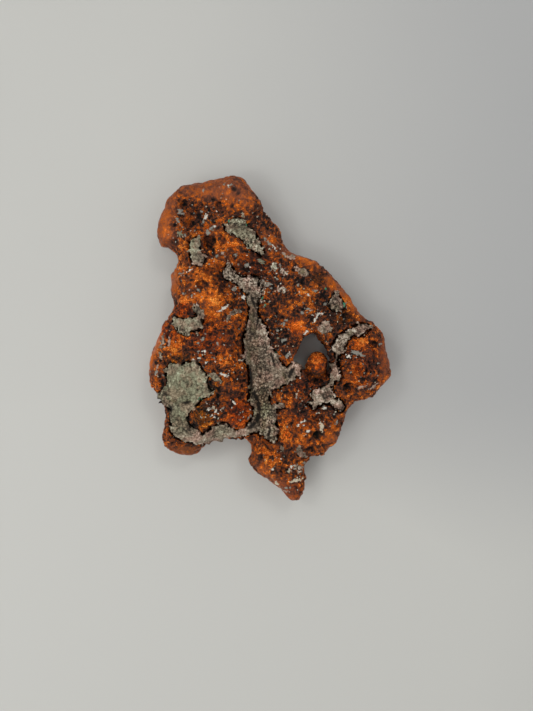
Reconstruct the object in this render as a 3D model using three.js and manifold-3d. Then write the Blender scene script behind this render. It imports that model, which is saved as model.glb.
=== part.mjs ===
// A native copper nugget, 66 by 89 mm and 15 mm thick, lying flat on its underside.
// One mass of metal, melted-looking and rounded at the rim, is holed right through beside a round knob.
// Remains of the host rock it grew in still fill its hollows: a branching seam, a vein and smaller patches.
// Millimetres, +Z up, +Y towards the crown of the nugget. The table is z = 0 and the origin is below the middle.

import * as THREE from "three";
import { MarchingCubes } from "three/addons/objects/MarchingCubes.js";
import { ImprovedNoise } from "three/addons/math/ImprovedNoise.js";
import { mergeVertices } from "three/addons/utils/BufferGeometryUtils.js";
import Module from "manifold-3d";

const wasm = await Module();
wasm.setup();

// Driving dimensions

const CROWN_HEIGHT = 11.6; // usual height of the upper face
const SOLE_HEIGHT = 1.7; // usual height of the underside between the bosses that it rests on
const RIM_WIDTH = 4.6; // how far in from the outline the rim is rounded
const RIM_SPARE = 0.45; // what the flat faces would otherwise take off the rim
const SKIN_GRAIN = 2.5; // edge length of the faces
const RELAX_ROUNDS = 6; // rounds that even out the faces
const BROAD_SWELL = { size: 11, height: 1.3 }; // wavelength and height of the broad unevenness
const FINE_SWELL = { size: 5.2, height: 1.0 };
const ROCK_RECESS = 0.75; // how far the rock lies below the metal round it
const ROCK_GAP = 0.3; // clearance between rock and metal
const OUTLINE_STEPS = 5; // points drawn on the outline for each one given

// Seen from above, clockwise from the top of the crown
const OUTLINE = [
  [-9.6, 44.4], [-7.7, 43.5], [-4.9, 40.4], [-3.3, 37.3], [-1.8, 35.2], [0.3, 31.3], [2.1, 30.1], [2.6, 27.6],
  [3.8, 25.2], [6.2, 23.3], [7.8, 22.7], [10.5, 21.4], [12.1, 20.6], [13.5, 19.2], [15.0, 18.4], [17.6, 15.7],
  [19.6, 12.9], [21.1, 11.6], [22.1, 9.4], [24.6, 6.4], [27.8, 4.3], [30.0, 2.4], [31.1, -0.6], [32.1, -4.5],
  [32.9, -9.0], [32.4, -10.5], [29.8, -12.9], [28.6, -14.7], [25.3, -16.6], [21.9, -18.7], [20.4, -20.8],
  [19.6, -23.5], [18.6, -26.2], [17.8, -28.2], [15.2, -29.4], [14.4, -31.2], [11.6, -32.3], [9.9, -32.8],
  [10.3, -34.8], [9.6, -38.0], [9.2, -41.6], [8.3, -43.6], [7.4, -44.5], [5.8, -43.8], [3.6, -42.8],
  [0.1, -39.6], [-3.3, -37.2], [-5.3, -35.2], [-6.4, -32.2], [-6.1, -29.8], [-6.3, -28.0], [-5.7, -26.2],
  [-7.6, -27.1], [-10.6, -28.7], [-12.2, -28.1], [-14.4, -27.8], [-17.4, -29.5], [-20.3, -31.3],
  [-23.0, -31.6], [-26.4, -30.6], [-28.6, -28.6], [-29.4, -26.2], [-28.6, -23.2], [-28.4, -19.5],
  [-29.0, -16.3], [-31.4, -13.3], [-32.4, -10.0], [-32.9, -7.0], [-31.9, -3.6], [-30.2, 0.4], [-29.5, 3.0],
  [-28.0, 6.3], [-26.9, 7.4], [-26.2, 9.2], [-26.8, 12.6], [-26.8, 15.7], [-25.2, 19.1], [-24.5, 21.2],
  [-26.2, 23.4], [-29.4, 24.2], [-30.6, 26.6], [-30.4, 29.4], [-28.9, 34.3], [-27.0, 38.0], [-25.4, 40.3],
  [-23.6, 41.4], [-18.0, 42.1], [-14.8, 42.7], [-12.3, 43.4],
];

// Swellings of the upper face: place, reach and rise, which is negative in a dip
const CROWN_SWELLINGS = [
  { name: "crown basin", at: [-19, 30], reach: 6.5, rise: -1.2 },
  { name: "crown shoulder", at: [-9, 38], reach: 6, rise: 0.8 },
  { name: "bright boss", at: [-17.5, 12.5], reach: 5.5, rise: 2.4 },
  { name: "boss spur", at: [-16.2, 7.5], reach: 2.6, rise: 0.9 },
  { name: "west hump", at: [-15, -3], reach: 8.5, rise: 2.6 },
  { name: "west shoulder", at: [-27.5, 2.5], reach: 3.2, rise: 1.0 },
  { name: "ring bump", at: [-23.2, 6.6], reach: 2.4, rise: 1.3 },
  { name: "red knob", at: [-8.2, -19.8], reach: 3.6, rise: 2.8 },
  { name: "dark knob", at: [-17.3, -20.2], reach: 3.8, rise: 2.0 },
  { name: "south-west toe", at: [-23, -29], reach: 4, rise: -1.6 },
  { name: "middle plateau", at: [6, 11], reach: 9.5, rise: 1.8 },
  { name: "east lobe", at: [25, -8], reach: 6.8, rise: 2.8 },
  { name: "east hump", at: [18.5, 4.2], reach: 3.6, rise: 0.8 },
  { name: "lower middle", at: [7, -15.5], reach: 4.8, rise: 1.5 },
  { name: "south hump", at: [7.5, -22.5], reach: 6, rise: 1.9 },
  { name: "south-east toe", at: [15.8, -26.8], reach: 3, rise: 0.9 },
  { name: "tip hump", at: [0, -31.5], reach: 5.2, rise: 2.2 },
  { name: "tip end", at: [7.5, -41], reach: 5, rise: -1.8 },
];

// Bosses of the underside: those with the largest drop are flattened where the nugget rests on them
const SOLE_SWELLINGS = [
  { name: "crown rest", at: [-15, 33], reach: 8, drop: 2.6 },
  { name: "west rest", at: [-23, -9], reach: 7.5, drop: 2.6 },
  { name: "east rest", at: [24, -7], reach: 7.5, drop: 2.6 },
  { name: "south rest", at: [2, -32], reach: 6.5, drop: 2.5 },
  { name: "middle hollow", at: [-4, 4], reach: 9, drop: -1.6 },
  { name: "neck hollow", at: [-20, 17], reach: 6, drop: -1.0 },
  { name: "east hollow", at: [10, 14], reach: 7, drop: -1.3 },
  { name: "south hollow", at: [8, -17], reach: 6, drop: -1.2 },
];

// The valley that the rock seam lies in, on the upper face
const VALLEY = { path: [[-9, 17], [-5, 13], [-4.6, 6], [-3.6, -2], [-2, -8], [-2.6, -14], [-1.5, -20], [0, -26]], reach: 4.2, depth: 2.9 };

// The hole through the nugget, and the round knob that stands into it
const HOLE = [
  [11.9, 1.3], [9.4, 0.4], [7.2, -2.2], [6.2, -4.7], [6.6, -6.6], [8.8, -7.6], [10.4, -10.2], [13.0, -11.4],
  [15.3, -9.8], [15.9, -6.6], [15.2, -3.6], [13.9, -1.4], [12.9, -0.1],
];
const KNOB = { at: [12.4, -7.3, 8.2], radii: [2.75, 3.7, 5.0], detail: 2 };
const KNOB_NECK = { at: [12.4, -10.9, 5.6], radii: [2.7, 3.2, 3.6], detail: 1 };

// Dark pits in the upper face: place, radius and depth of the centre below the surface
const PITS = [
  { at: [-16.2, 25.2], radius: 1.7, sunk: 0.2 },
  { at: [-20.6, 30.8], radius: 1.4, sunk: 0.2 },
  { at: [-22.6, 35.4], radius: 1.1, sunk: 0.1 },
  { at: [-14.0, 34.7], radius: 1.1, sunk: 0.0 },
  { at: [-25.2, 25.4], radius: 1.2, sunk: 0.0 },
  { at: [-18.0, 13.6], radius: 1.3, sunk: 0.1 },
  { at: [-3.0, 32.0], radius: 2.4, sunk: -0.7 },
  { at: [13.4, 15.4], radius: 2.0, sunk: -0.2 },
  { at: [6.0, 9.8], radius: 1.2, sunk: -0.1 },
  { at: [19.8, 5.4], radius: 1.9, sunk: -0.3 },
  { at: [26.9, -1.6], radius: 1.2, sunk: 0.0 },
  { at: [22.2, -8.4], radius: 1.3, sunk: 0.0 },
  { at: [20.1, -12.9], radius: 1.4, sunk: 0.0 },
  { at: [12.1, -25.4], radius: 1.3, sunk: 0.1 },
  { at: [12.8, -20.9], radius: 1.2, sunk: 0.0 },
  { at: [4.2, -34.2], radius: 1.5, sunk: -0.2 },
  { at: [-7.2, -10.0], radius: 1.7, sunk: -0.3 },
  { at: [-28.6, -11.0], radius: 1.3, sunk: 0.0 },
];

// Pits in the underside
const SOLE_PITS = [
  { at: [-20, 22], radius: 1.9, sunk: -0.3 },
  { at: [-6, 27], radius: 2.2, sunk: -0.6 },
  { at: [-14, 6], radius: 2.4, sunk: -0.8 },
  { at: [-10, -17], radius: 1.9, sunk: -0.3 },
  { at: [16, -19], radius: 2.0, sunk: -0.4 },
  { at: [8, 14], radius: 1.8, sunk: -0.3 },
];

// Outlines of the rock remains, seen from above
const SEAM = [
  [-12.2, 18.4], [-11.5, 19.7], [-10.2, 18.8], [-9.1, 17.3], [-7.4, 16.3], [-4.9, 16.4], [-3.0, 16.3],
  [-3.4, 14.3], [-2.2, 12.2], [-3.4, 10.2], [-3.4, 6.2], [-2.4, 4.3], [-1.2, 2.4], [-0.5, -0.4], [-0.6, -1.9],
  [1.0, -3.2], [1.9, -4.8], [2.9, -6.6], [4.2, -7.9], [5.5, -6.6], [7.4, -6.2], [8.5, -7.2], [7.7, -9.5],
  [5.2, -10.7], [3.8, -12.0], [2.2, -13.1], [0.3, -13.7], [-0.4, -16.0], [0.1, -18.0], [2.6, -17.0],
  [4.0, -18.1], [1.5, -18.7], [1.3, -22.0], [2.0, -25.0], [1.6, -27.0], [0.4, -27.7], [-0.9, -26.6],
  [-2.9, -25.4], [-3.0, -23.4], [-4.2, -23.4], [-5.8, -23.9], [-5.6, -22.2], [-4.4, -20.0], [-4.5, -18.0],
  [-5.9, -16.0], [-5.4, -14.0], [-5.6, -10.0], [-6.0, -7.4], [-7.3, -5.0], [-7.0, -3.0], [-7.3, -1.0],
  [-6.7, 1.4], [-5.9, 4.0], [-5.8, 8.0], [-6.1, 11.7], [-7.9, 13.9], [-10.3, 15.4], [-12.4, 16.0],
];
const LEDGE = [
  [-1.8, -22.9], [-5.0, -21.6], [-6.9, -23.8], [-8.9, -24.4], [-10.6, -23.5], [-11.8, -22.3], [-13.2, -22.2],
  [-14.9, -23.2], [-16.6, -24.5], [-17.9, -25.7], [-18.9, -24.7], [-20.5, -24.1], [-21.7, -22.6],
  [-22.2, -20.6], [-21.6, -19.3], [-20.5, -18.5], [-19.1, -17.3], [-18.2, -16.0], [-16.6, -15.1],
  [-15.4, -14.6], [-16.0, -13.2], [-16.6, -11.6], [-16.5, -10.0], [-17.5, -8.6], [-19.5, -6.2],
  [-22.0, -6.4], [-23.4, -7.1], [-25.8, -6.8], [-27.6, -8.2], [-27.4, -10.4], [-27.0, -12.4], [-28.6, -14.2],
  [-30.5, -15.4], [-28.4, -17.0], [-26.6, -19.0], [-26.4, -22.6], [-26.3, -24.8], [-24.3, -26.7],
  [-21.8, -27.5], [-19.6, -28.0], [-17.2, -28.6], [-15.6, -30.2], [-13.2, -29.4], [-12.2, -26.9],
  [-10.1, -26.9], [-7.8, -26.2], [-5.4, -25.2], [-2.0, -24.6],
];
const VEIN = [
  [19.0, 1.5], [21.4, 2.3], [22.7, 3.7], [25.0, 4.0], [27.4, 2.5], [25.6, 2.1], [24.6, 0.8], [23.4, 0.5],
  [22.0, 0.8], [20.1, -0.5], [19.5, -2.6], [19.3, -3.7], [17.8, -4.8], [17.4, -6.4], [18.1, -9.4],
  [18.3, -10.8], [16.6, -11.4], [15.9, -13.4], [16.9, -15.6], [18.8, -16.2], [19.5, -17.8], [19.6, -19.6],
  [17.7, -19.1], [15.5, -17.2], [13.6, -17.2], [12.3, -17.7], [11.4, -19.3], [10.9, -17.9], [9.3, -16.9],
  [11.0, -16.2], [10.5, -14.3], [13.1, -13.1], [15.0, -11.6], [16.0, -8.6], [16.4, -5.8], [16.9, -4.4],
  [15.3, -3.3], [16.0, -1.9], [17.6, -0.1],
];
const CROWN_PATCH = [
  [-12.2, 29.5], [-11.7, 28.4], [-9.9, 27.7], [-7.6, 26.3], [-6.2, 24.2], [-3.9, 22.9], [-2.3, 21.5],
  [-1.8, 22.6], [-2.9, 25.0], [-3.9, 27.3], [-5.9, 29.1], [-7.4, 30.8], [-9.3, 31.6], [-10.3, 30.3],
];
const NECK_PATCH = [
  [-19.9, 26.3], [-18.8, 26.2], [-18.7, 23.3], [-17.4, 21.4], [-17.6, 19.8], [-19.2, 18.8], [-20.6, 20.0],
  [-20.9, 22.5], [-21.5, 24.6],
];
const RING_PATCH = [
  [-25.7, 5.7], [-25.0, 3.2], [-24.0, 1.9], [-22.6, 0.9], [-20.6, 1.7], [-18.9, 1.7], [-17.8, 4.0],
  [-17.7, 6.6], [-19.2, 8.4], [-19.6, 7.2], [-19.1, 5.6], [-21.2, 4.7], [-23.6, 4.7], [-24.9, 5.4],
];
const SHOULDER_PATCH = [
  [15.4, 9.9], [16.4, 10.4], [16.4, 11.7], [17.9, 11.9], [18.5, 9.9], [19.6, 8.5], [18.8, 7.4], [16.0, 7.7],
];

const COPPER = new THREE.MeshStandardMaterial({ color: 0x8a4724, roughness: 0.45, metalness: 0.8 });
const ROCK_GREEN = new THREE.MeshStandardMaterial({ color: 0x8b8971, roughness: 0.92, metalness: 0 });
const ROCK_PINK = new THREE.MeshStandardMaterial({ color: 0x8c7d6c, roughness: 0.92, metalness: 0 });

const noise = new ImprovedNoise();

// The closed smooth curve through some points of the plane, drawn with a few points for each of them.
function closedCurve(points, fineness) {
  const curve = new THREE.CatmullRomCurve3(points.map(([x, y]) => new THREE.Vector3(x, y, 0)), true, "centripetal");
  const count = points.length * fineness;
  return curve.getPoints(count).slice(0, count).map((p) => new THREE.Vector2(p.x, p.y));
}

const rimLine = closedCurve(OUTLINE, OUTLINE_STEPS);

// The distance from a point to a line of points, and whether the point is inside it where it closes.
function lineDistance(x, y, line, closed) {
  let nearest = Infinity;
  let inside = false;
  const last = closed ? line.length : line.length - 1;
  for (let i = 0; i < last; i++) {
    const a = line[i];
    const b = line[(i + 1) % line.length];
    const dx = b.x - a.x;
    const dy = b.y - a.y;
    const along = THREE.MathUtils.clamp(((x - a.x) * dx + (y - a.y) * dy) / (dx * dx + dy * dy), 0, 1);
    nearest = Math.min(nearest, Math.hypot(x - a.x - along * dx, y - a.y - along * dy));
    if (a.y > y !== b.y > y && x < a.x + ((y - a.y) / dy) * dx) inside = !inside;
  }
  return { nearest, inside };
}

// How far inside the outline a point is; negative outside it.
function depthInside(x, y) {
  const { nearest, inside } = lineDistance(x, y, rimLine, true);
  return inside ? nearest : -nearest;
}

const bell = (distance, reach) => Math.exp(-((distance / reach) ** 2));
const swell = (x, y, z, { size, height }) => height * noise.noise(x / size + 7.3, y / size - 3.1, z / size + 1.7);

const valleyLine = VALLEY.path.map(([x, y]) => new THREE.Vector2(x, y));

function crownHeight(x, y) {
  let height = CROWN_HEIGHT;
  for (const { at, reach, rise } of CROWN_SWELLINGS) height += rise * bell(Math.hypot(x - at[0], y - at[1]), reach);
  return height - VALLEY.depth * bell(lineDistance(x, y, valleyLine, false).nearest, VALLEY.reach);
}

function soleHeight(x, y) {
  let height = SOLE_HEIGHT;
  for (const { at, reach, drop } of SOLE_SWELLINGS) height -= drop * bell(Math.hypot(x - at[0], y - at[1]), reach);
  return height;
}

// How deep a point is in the metal, about in millimetres; negative outside it. column holds what x and y settle.
function depthInMetal(x, y, z, column) {
  const middle = (column.crown + column.sole) / 2;
  const half = (column.crown - column.sole) / 2;
  const uneven = swell(x, y, z, BROAD_SWELL) + swell(x, y, z, FINE_SWELL);
  const shortOfFlat = (Math.max(RIM_WIDTH - column.depth, 0) * half) / RIM_WIDTH;
  return half - Math.hypot(shortOfFlat, z - middle) + uneven;
}

const columnAt = (x, y) => ({ crown: crownHeight(x, y), sole: soleHeight(x, y), depth: depthInside(x, y) + RIM_SPARE });
const depthAt = (p) => depthInMetal(p.x, p.y, p.z, columnAt(p.x, p.y));

// Moves a point on to the surface of the metal, along the slope of the depth.
function settle(p) {
  const step = 0.05;
  const here = depthAt(p);
  const slope = new THREE.Vector3(
    depthAt(p.clone().add(new THREE.Vector3(step, 0, 0))) - here,
    depthAt(p.clone().add(new THREE.Vector3(0, step, 0))) - here,
    depthAt(p.clone().add(new THREE.Vector3(0, 0, step))) - here,
  ).divideScalar(step);
  const furthest = SKIN_GRAIN / 2;
  const move = THREE.MathUtils.clamp(here / slope.lengthSq(), -furthest, furthest);
  p.addScaledVector(slope, -move);
}

// Evens out the faces of a closed mesh: each vertex goes towards its neighbours' middle and back to the surface.
function relax(geometry) {
  const positions = geometry.getAttribute("position");
  const points = Array.from({ length: positions.count }, (_, i) => new THREE.Vector3().fromBufferAttribute(positions, i));
  const neighbours = points.map(() => new Set());
  const corners = geometry.index.array;
  for (let i = 0; i < corners.length; i += 3) {
    for (const [a, b] of [[0, 1], [1, 2], [2, 0]]) {
      neighbours[corners[i + a]].add(corners[i + b]);
      neighbours[corners[i + b]].add(corners[i + a]);
    }
  }
  for (let round = 0; round < RELAX_ROUNDS; round++) {
    const middles = neighbours.map((near) => {
      const middle = new THREE.Vector3();
      for (const n of near) middle.add(points[n]);
      return middle.divideScalar(near.size);
    });
    points.forEach((p, i) => settle(p.lerp(middles[i], 0.5)));
  }
  points.forEach((p, i) => positions.setXYZ(i, p.x, p.y, p.z));
}

// The skin of the whole nugget, before anything is cut out of it.
function nuggetGeometry() {
  const cells = 2 * (Math.ceil(46 / SKIN_GRAIN) + 2); // the marcher leaves out the two outer rows
  const lowest = -3 * SKIN_GRAIN;
  const layers = Math.ceil((CROWN_HEIGHT + 8) / SKIN_GRAIN) + 3;
  const marcher = new MarchingCubes(cells, COPPER, false, false, 30000);
  marcher.isolation = 0;
  marcher.field.fill(-SKIN_GRAIN);
  const least = 0.12 * SKIN_GRAIN; // keeps the surface off the grid's own points, where it would make slivers
  for (let j = 0; j < cells; j++) {
    for (let i = 0; i < cells; i++) {
      const x = (i - cells / 2) * SKIN_GRAIN;
      const y = (j - cells / 2) * SKIN_GRAIN;
      const column = columnAt(x, y);
      if (column.depth < -RIM_WIDTH) continue;
      for (let k = 0; k < layers; k++) {
        const depth = depthInMetal(x, y, lowest + k * SKIN_GRAIN, column);
        marcher.setCell(i, j, k, Math.abs(depth) < least ? Math.sign(depth || 1) * least : depth);
      }
    }
  }
  marcher.update();
  const corners = marcher.geometry.getAttribute("position").array.slice(0, marcher.count * 3);
  const skin = new THREE.BufferGeometry().setAttribute("position", new THREE.BufferAttribute(corners, 3));
  const half = (cells / 2) * SKIN_GRAIN;
  skin.scale(half, half, half).translate(0, 0, half + lowest);
  const merged = mergeVertices(skin, 1e-3);
  relax(merged);
  return merged;
}

// A closed geometry as a solid that can be cut and joined.
function solid(geometry) {
  const bare = new THREE.BufferGeometry().setAttribute("position", geometry.getAttribute("position"));
  if (geometry.index) bare.setIndex(geometry.index);
  const merged = mergeVertices(bare, 1e-4);
  return new wasm.Manifold(
    new wasm.Mesh({
      numProp: 3,
      vertProperties: new Float32Array(merged.getAttribute("position").array),
      triVerts: new Uint32Array(merged.index.array),
    }),
  );
}

// A solid as a named mesh.
function named(name, made, material) {
  const { vertProperties, triVerts, numProp } = made.getMesh();
  const corners = new Float32Array((vertProperties.length / numProp) * 3);
  for (let i = 0; i < corners.length / 3; i++) corners.set(vertProperties.subarray(i * numProp, i * numProp + 3), i * 3);
  const geometry = new THREE.BufferGeometry()
    .setAttribute("position", new THREE.BufferAttribute(corners, 3))
    .setIndex(new THREE.BufferAttribute(triVerts, 1));
  geometry.computeVertexNormals();
  const mesh = new THREE.Mesh(geometry, material);
  mesh.name = name;
  return mesh;
}

// A closed line of points drawn in by an inset, without the points that would then be too near another side.
function drawnIn(line, inset) {
  if (inset === 0) return line;
  const turn = THREE.ShapeUtils.isClockWise(line) ? -1 : 1;
  const inward = (a, b) => new THREE.Vector2(-turn * (b.y - a.y), turn * (b.x - a.x)).normalize();
  const drawn = line.map((p, i) => {
    const first = inward(line[(i + line.length - 1) % line.length], p);
    const corner = inward(p, line[(i + 1) % line.length]).add(first).normalize();
    return p.clone().addScaledVector(corner, inset / Math.max(corner.dot(first), 0.4));
  });
  return drawn.filter((p) => lineDistance(p.x, p.y, line, true).nearest > 0.9 * inset);
}

// An upright prism between two heights over the curve through some points, drawn in by an inset.
function prism(points, low, high, fineness, inset = 0) {
  const outline = new THREE.Shape(drawnIn(closedCurve(points, fineness), inset));
  const geometry = new THREE.ExtrudeGeometry(outline, { depth: high - low, bevelEnabled: false });
  return solid(geometry.translate(0, 0, low));
}

// A ball, stretched and made a little uneven.
function lump({ at, radii, detail }, roughness = 0.12) {
  const geometry = mergeVertices(
    new THREE.BufferGeometry().setAttribute("position", new THREE.IcosahedronGeometry(1, detail).getAttribute("position")),
    1e-4,
  );
  const positions = geometry.getAttribute("position");
  const p = new THREE.Vector3();
  for (let i = 0; i < positions.count; i++) {
    p.fromBufferAttribute(positions, i);
    p.multiplyScalar(1 + roughness * noise.noise(p.x * 1.6 + at[0], p.y * 1.6 + at[1], p.z * 1.6));
    positions.setXYZ(i, at[0] + p.x * radii[0], at[1] + p.y * radii[1], at[2] + p.z * radii[2]);
  }
  return solid(geometry);
}

// What a pit takes away: an uneven hollow, finer when it is large.
function pit(x, y, z, radius) {
  return lump({ at: [x, y, z], radii: [radius, radius * 0.8, radius], detail: radius > 1.6 ? 1 : 0 }, 0.35);
}

const blank = solid(nuggetGeometry());
const crownHeights = (x, y) => crownHeight(x, y) + swell(x, y, CROWN_HEIGHT, BROAD_SWELL);

// What is cut out of the metal: the pits, and the flats where it rests.
function dents() {
  const crownPits = PITS.map(({ at, radius, sunk }) =>
    pit(at[0], at[1], crownHeights(...at) - sunk, radius));
  const solePits = SOLE_PITS.map(({ at, radius, sunk }) =>
    pit(at[0], at[1], soleHeight(...at) + sunk, radius));
  const table = solid(new THREE.BoxGeometry(120, 120, 10).translate(0, 0, -5));
  return [...crownPits, ...solePits, table];
}

// The rock remains: outlines, the height of each seat's floor, and how many points are drawn for each one given.
const ROCKS = [
  { name: "rock_seam", areas: [[SEAM, 4.4, 1], [LEDGE, 5.6, 1]], material: ROCK_PINK },
  { name: "rock_vein", areas: [[VEIN, 7.4, 1]], material: ROCK_PINK },
  { name: "rock_patch_crown", areas: [[CROWN_PATCH, 7.6, 2]], material: ROCK_GREEN },
  { name: "rock_patch_neck", areas: [[NECK_PATCH, 7.6, 2]], material: ROCK_GREEN },
  { name: "rock_patch_ring", areas: [[RING_PATCH, 7.8, 2]], material: ROCK_GREEN },
  { name: "rock_patch_shoulder", areas: [[SHOULDER_PATCH, 7.6, 2]], material: ROCK_PINK },
];

const OVER = 30; // higher than anything here
const hole = prism(HOLE, -5, OVER, 2);
const knob = lump(KNOB).add(lump(KNOB_NECK));
let metal = blank.subtract(hole).add(knob);
for (const dent of dents()) metal = metal.subtract(dent);
const rockBlank = blank.translate([0, 0, -ROCK_RECESS]);
const knobRoom = lump({ ...KNOB, radii: KNOB.radii.map((r) => r + ROCK_GAP) })
  .add(lump({ ...KNOB_NECK, radii: KNOB_NECK.radii.map((r) => r + ROCK_GAP) }));

const nugget = new THREE.Group();
for (const { name, areas, material } of ROCKS) {
  let rock = null;
  for (const [points, floor, fineness] of areas) {
    metal = metal.subtract(prism(points, floor, OVER, fineness));
    const piece = prism(points, floor + ROCK_GAP, OVER, fineness, ROCK_GAP).intersect(rockBlank);
    rock = rock ? rock.add(piece) : piece;
  }
  nugget.add(named(name, rock.subtract(knobRoom), material));
}
nugget.add(named("copper_nugget", metal, COPPER));

export default nugget;
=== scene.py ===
"""The looks of a native copper nugget: oxidised metal, host rock in its hollows and loose mineral flecks.

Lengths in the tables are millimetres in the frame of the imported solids. Seen from above, x runs to the
right and y up, towards the crown of the nugget.
"""

from __future__ import annotations

import logging
import math
import random
from dataclasses import dataclass, field
from enum import Enum

import bmesh
import bpy
import numpy as np
from mathutils import Matrix, Vector, noise
from mathutils.bvhtree import BVHTree
from mathutils.kdtree import KDTree


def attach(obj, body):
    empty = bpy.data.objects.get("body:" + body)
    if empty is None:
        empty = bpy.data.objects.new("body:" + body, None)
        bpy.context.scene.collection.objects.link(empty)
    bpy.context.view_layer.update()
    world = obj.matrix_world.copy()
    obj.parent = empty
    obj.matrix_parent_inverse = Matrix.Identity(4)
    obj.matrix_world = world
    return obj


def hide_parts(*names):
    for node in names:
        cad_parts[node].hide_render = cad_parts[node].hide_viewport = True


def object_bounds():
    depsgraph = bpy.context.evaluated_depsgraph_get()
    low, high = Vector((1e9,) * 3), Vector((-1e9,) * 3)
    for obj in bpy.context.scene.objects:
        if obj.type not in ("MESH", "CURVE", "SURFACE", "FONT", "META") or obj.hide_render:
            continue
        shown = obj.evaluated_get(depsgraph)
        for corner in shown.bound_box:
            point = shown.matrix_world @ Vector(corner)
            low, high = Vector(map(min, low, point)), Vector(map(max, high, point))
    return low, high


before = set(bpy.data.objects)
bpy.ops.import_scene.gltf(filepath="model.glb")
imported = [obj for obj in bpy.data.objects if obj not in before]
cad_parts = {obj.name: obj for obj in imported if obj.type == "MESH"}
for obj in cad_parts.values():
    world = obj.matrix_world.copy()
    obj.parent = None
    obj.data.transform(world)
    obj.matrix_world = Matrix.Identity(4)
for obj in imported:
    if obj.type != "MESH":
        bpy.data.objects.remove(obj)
CAD_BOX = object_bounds()

LOG = logging.getLogger("nugget")
MM = 0.001

# The photograph's frame, and where its camera was held above the nugget.
PHOTO_PX = (533, 711)
FOCAL_PX = 534.0
CAMERA_AT_MM = (-1.08, -4.59, 151.18)

# Rays are sent down from this height in metres, well above the nugget, and a face that
# looks up by at least this much counts as its upper side.
RAY_TOP = 0.05
DOWN = Vector((0, 0, -1))
FACING_UP = 0.3

Socket = bpy.types.NodeSocket


class Tone(Enum):
    """What a named place on the copper looks like; its bright and dark places include painted highlights and
    painted shade.
    """

    BRIGHT = "bright"
    DARK = "dark"
    RED = "red"
    OLIVE = "olive"
    SMOOTH = "smooth"


class Hue(Enum):
    """What a named place on the rock looks like."""

    MOSS = "moss"
    MURK = "murk"
    SLIT = "slit"
    PALE = "pale"
    SUGAR = "sugar"


class Grain(Enum):
    """The mineral that a fleck is made of, with where it lies on the flecks' colour scale."""

    WHITE = 0.05
    CREAM = 0.2
    PINK = 0.35
    GREY = 0.5
    MOSS = 0.7
    GREEN = 0.95


def turned(dx: object, dy: object, degrees: float) -> tuple[object, object]:
    """Splits a sideways distance into one along a direction and one across it.

    Args:
        dx: The distance in x, or an array of them.
        dy: The distance in y, or an array of them.
        degrees: The direction, from x.

    Returns:
        The distance along and the distance across.
    """
    angle = math.radians(degrees)
    return dx * math.cos(angle) + dy * math.sin(angle), dy * math.cos(angle) - dx * math.sin(angle)


def soft(x: float, y: float, size: float, layer: float) -> float:
    """Soft noise on the plane.

    Args:
        x: The point.
        y: The point.
        size: The distance between its swells.
        layer: Which part of the noise is taken.

    Returns:
        A number from about -1 to 1.
    """
    return noise.noise(Vector((x / size, y / size, layer)))


def torn(x: float, y: float, size: float, layer: float, fade: float) -> float:
    """Ragged noise on the plane, for torn edges.

    Args:
        x: The point.
        y: The point.
        size: The distance between its largest teeth.
        layer: Which part of the noise is taken.
        fade: How much smaller its finer teeth are.

    Returns:
        A number from about -1 to 1.
    """
    return noise.fractal(Vector((x / size, y / size, layer)), fade, 2.2, 3)


@dataclass(frozen=True)
class Oval:
    """A soft-edged oval place, seen from above.

    Args:
        x: Its middle.
        y: Its middle.
        long: Its reach along its own length.
        wide: Its reach across.
        turn: The direction of its length, in degrees from x.
        strength: How strongly the place is marked.
    """

    x: float
    y: float
    long: float
    wide: float
    turn: float = 0.0
    strength: float = 1.0

    def cover(self, points: np.ndarray) -> np.ndarray:
        """How far each point belongs to the place.

        Args:
            points: Points in millimetres, one row each.

        Returns:
            A number from 0 to the place's strength for each point.
        """
        along, across = turned(points[:, 0] - self.x, points[:, 1] - self.y, self.turn)
        far_squared = (along / self.long) ** 2 + (across / self.wide) ** 2
        return self.strength * np.exp(-(far_squared**1.5))


def ovals(*places: tuple[float, ...]) -> list[Oval]:
    """Makes a place from each row of numbers."""
    return [Oval(*place) for place in places]


def covered(points: np.ndarray, places: list[Oval]) -> np.ndarray:
    """How far each point belongs to any of some places.

    Args:
        points: Points in millimetres, one row each.
        places: The places.

    Returns:
        A number for each point.
    """
    return np.max([place.cover(points) for place in places], axis=0)


def pit(x: float, y: float, reach: float) -> Oval:
    """A small black pit in the copper.

    Args:
        x: Its middle.
        y: Its middle.
        reach: Its reach along its length.

    Returns:
        The place that it darkens.
    """
    return Oval(x, y, reach, 0.85 * reach, 30.0, 1.7)


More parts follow.
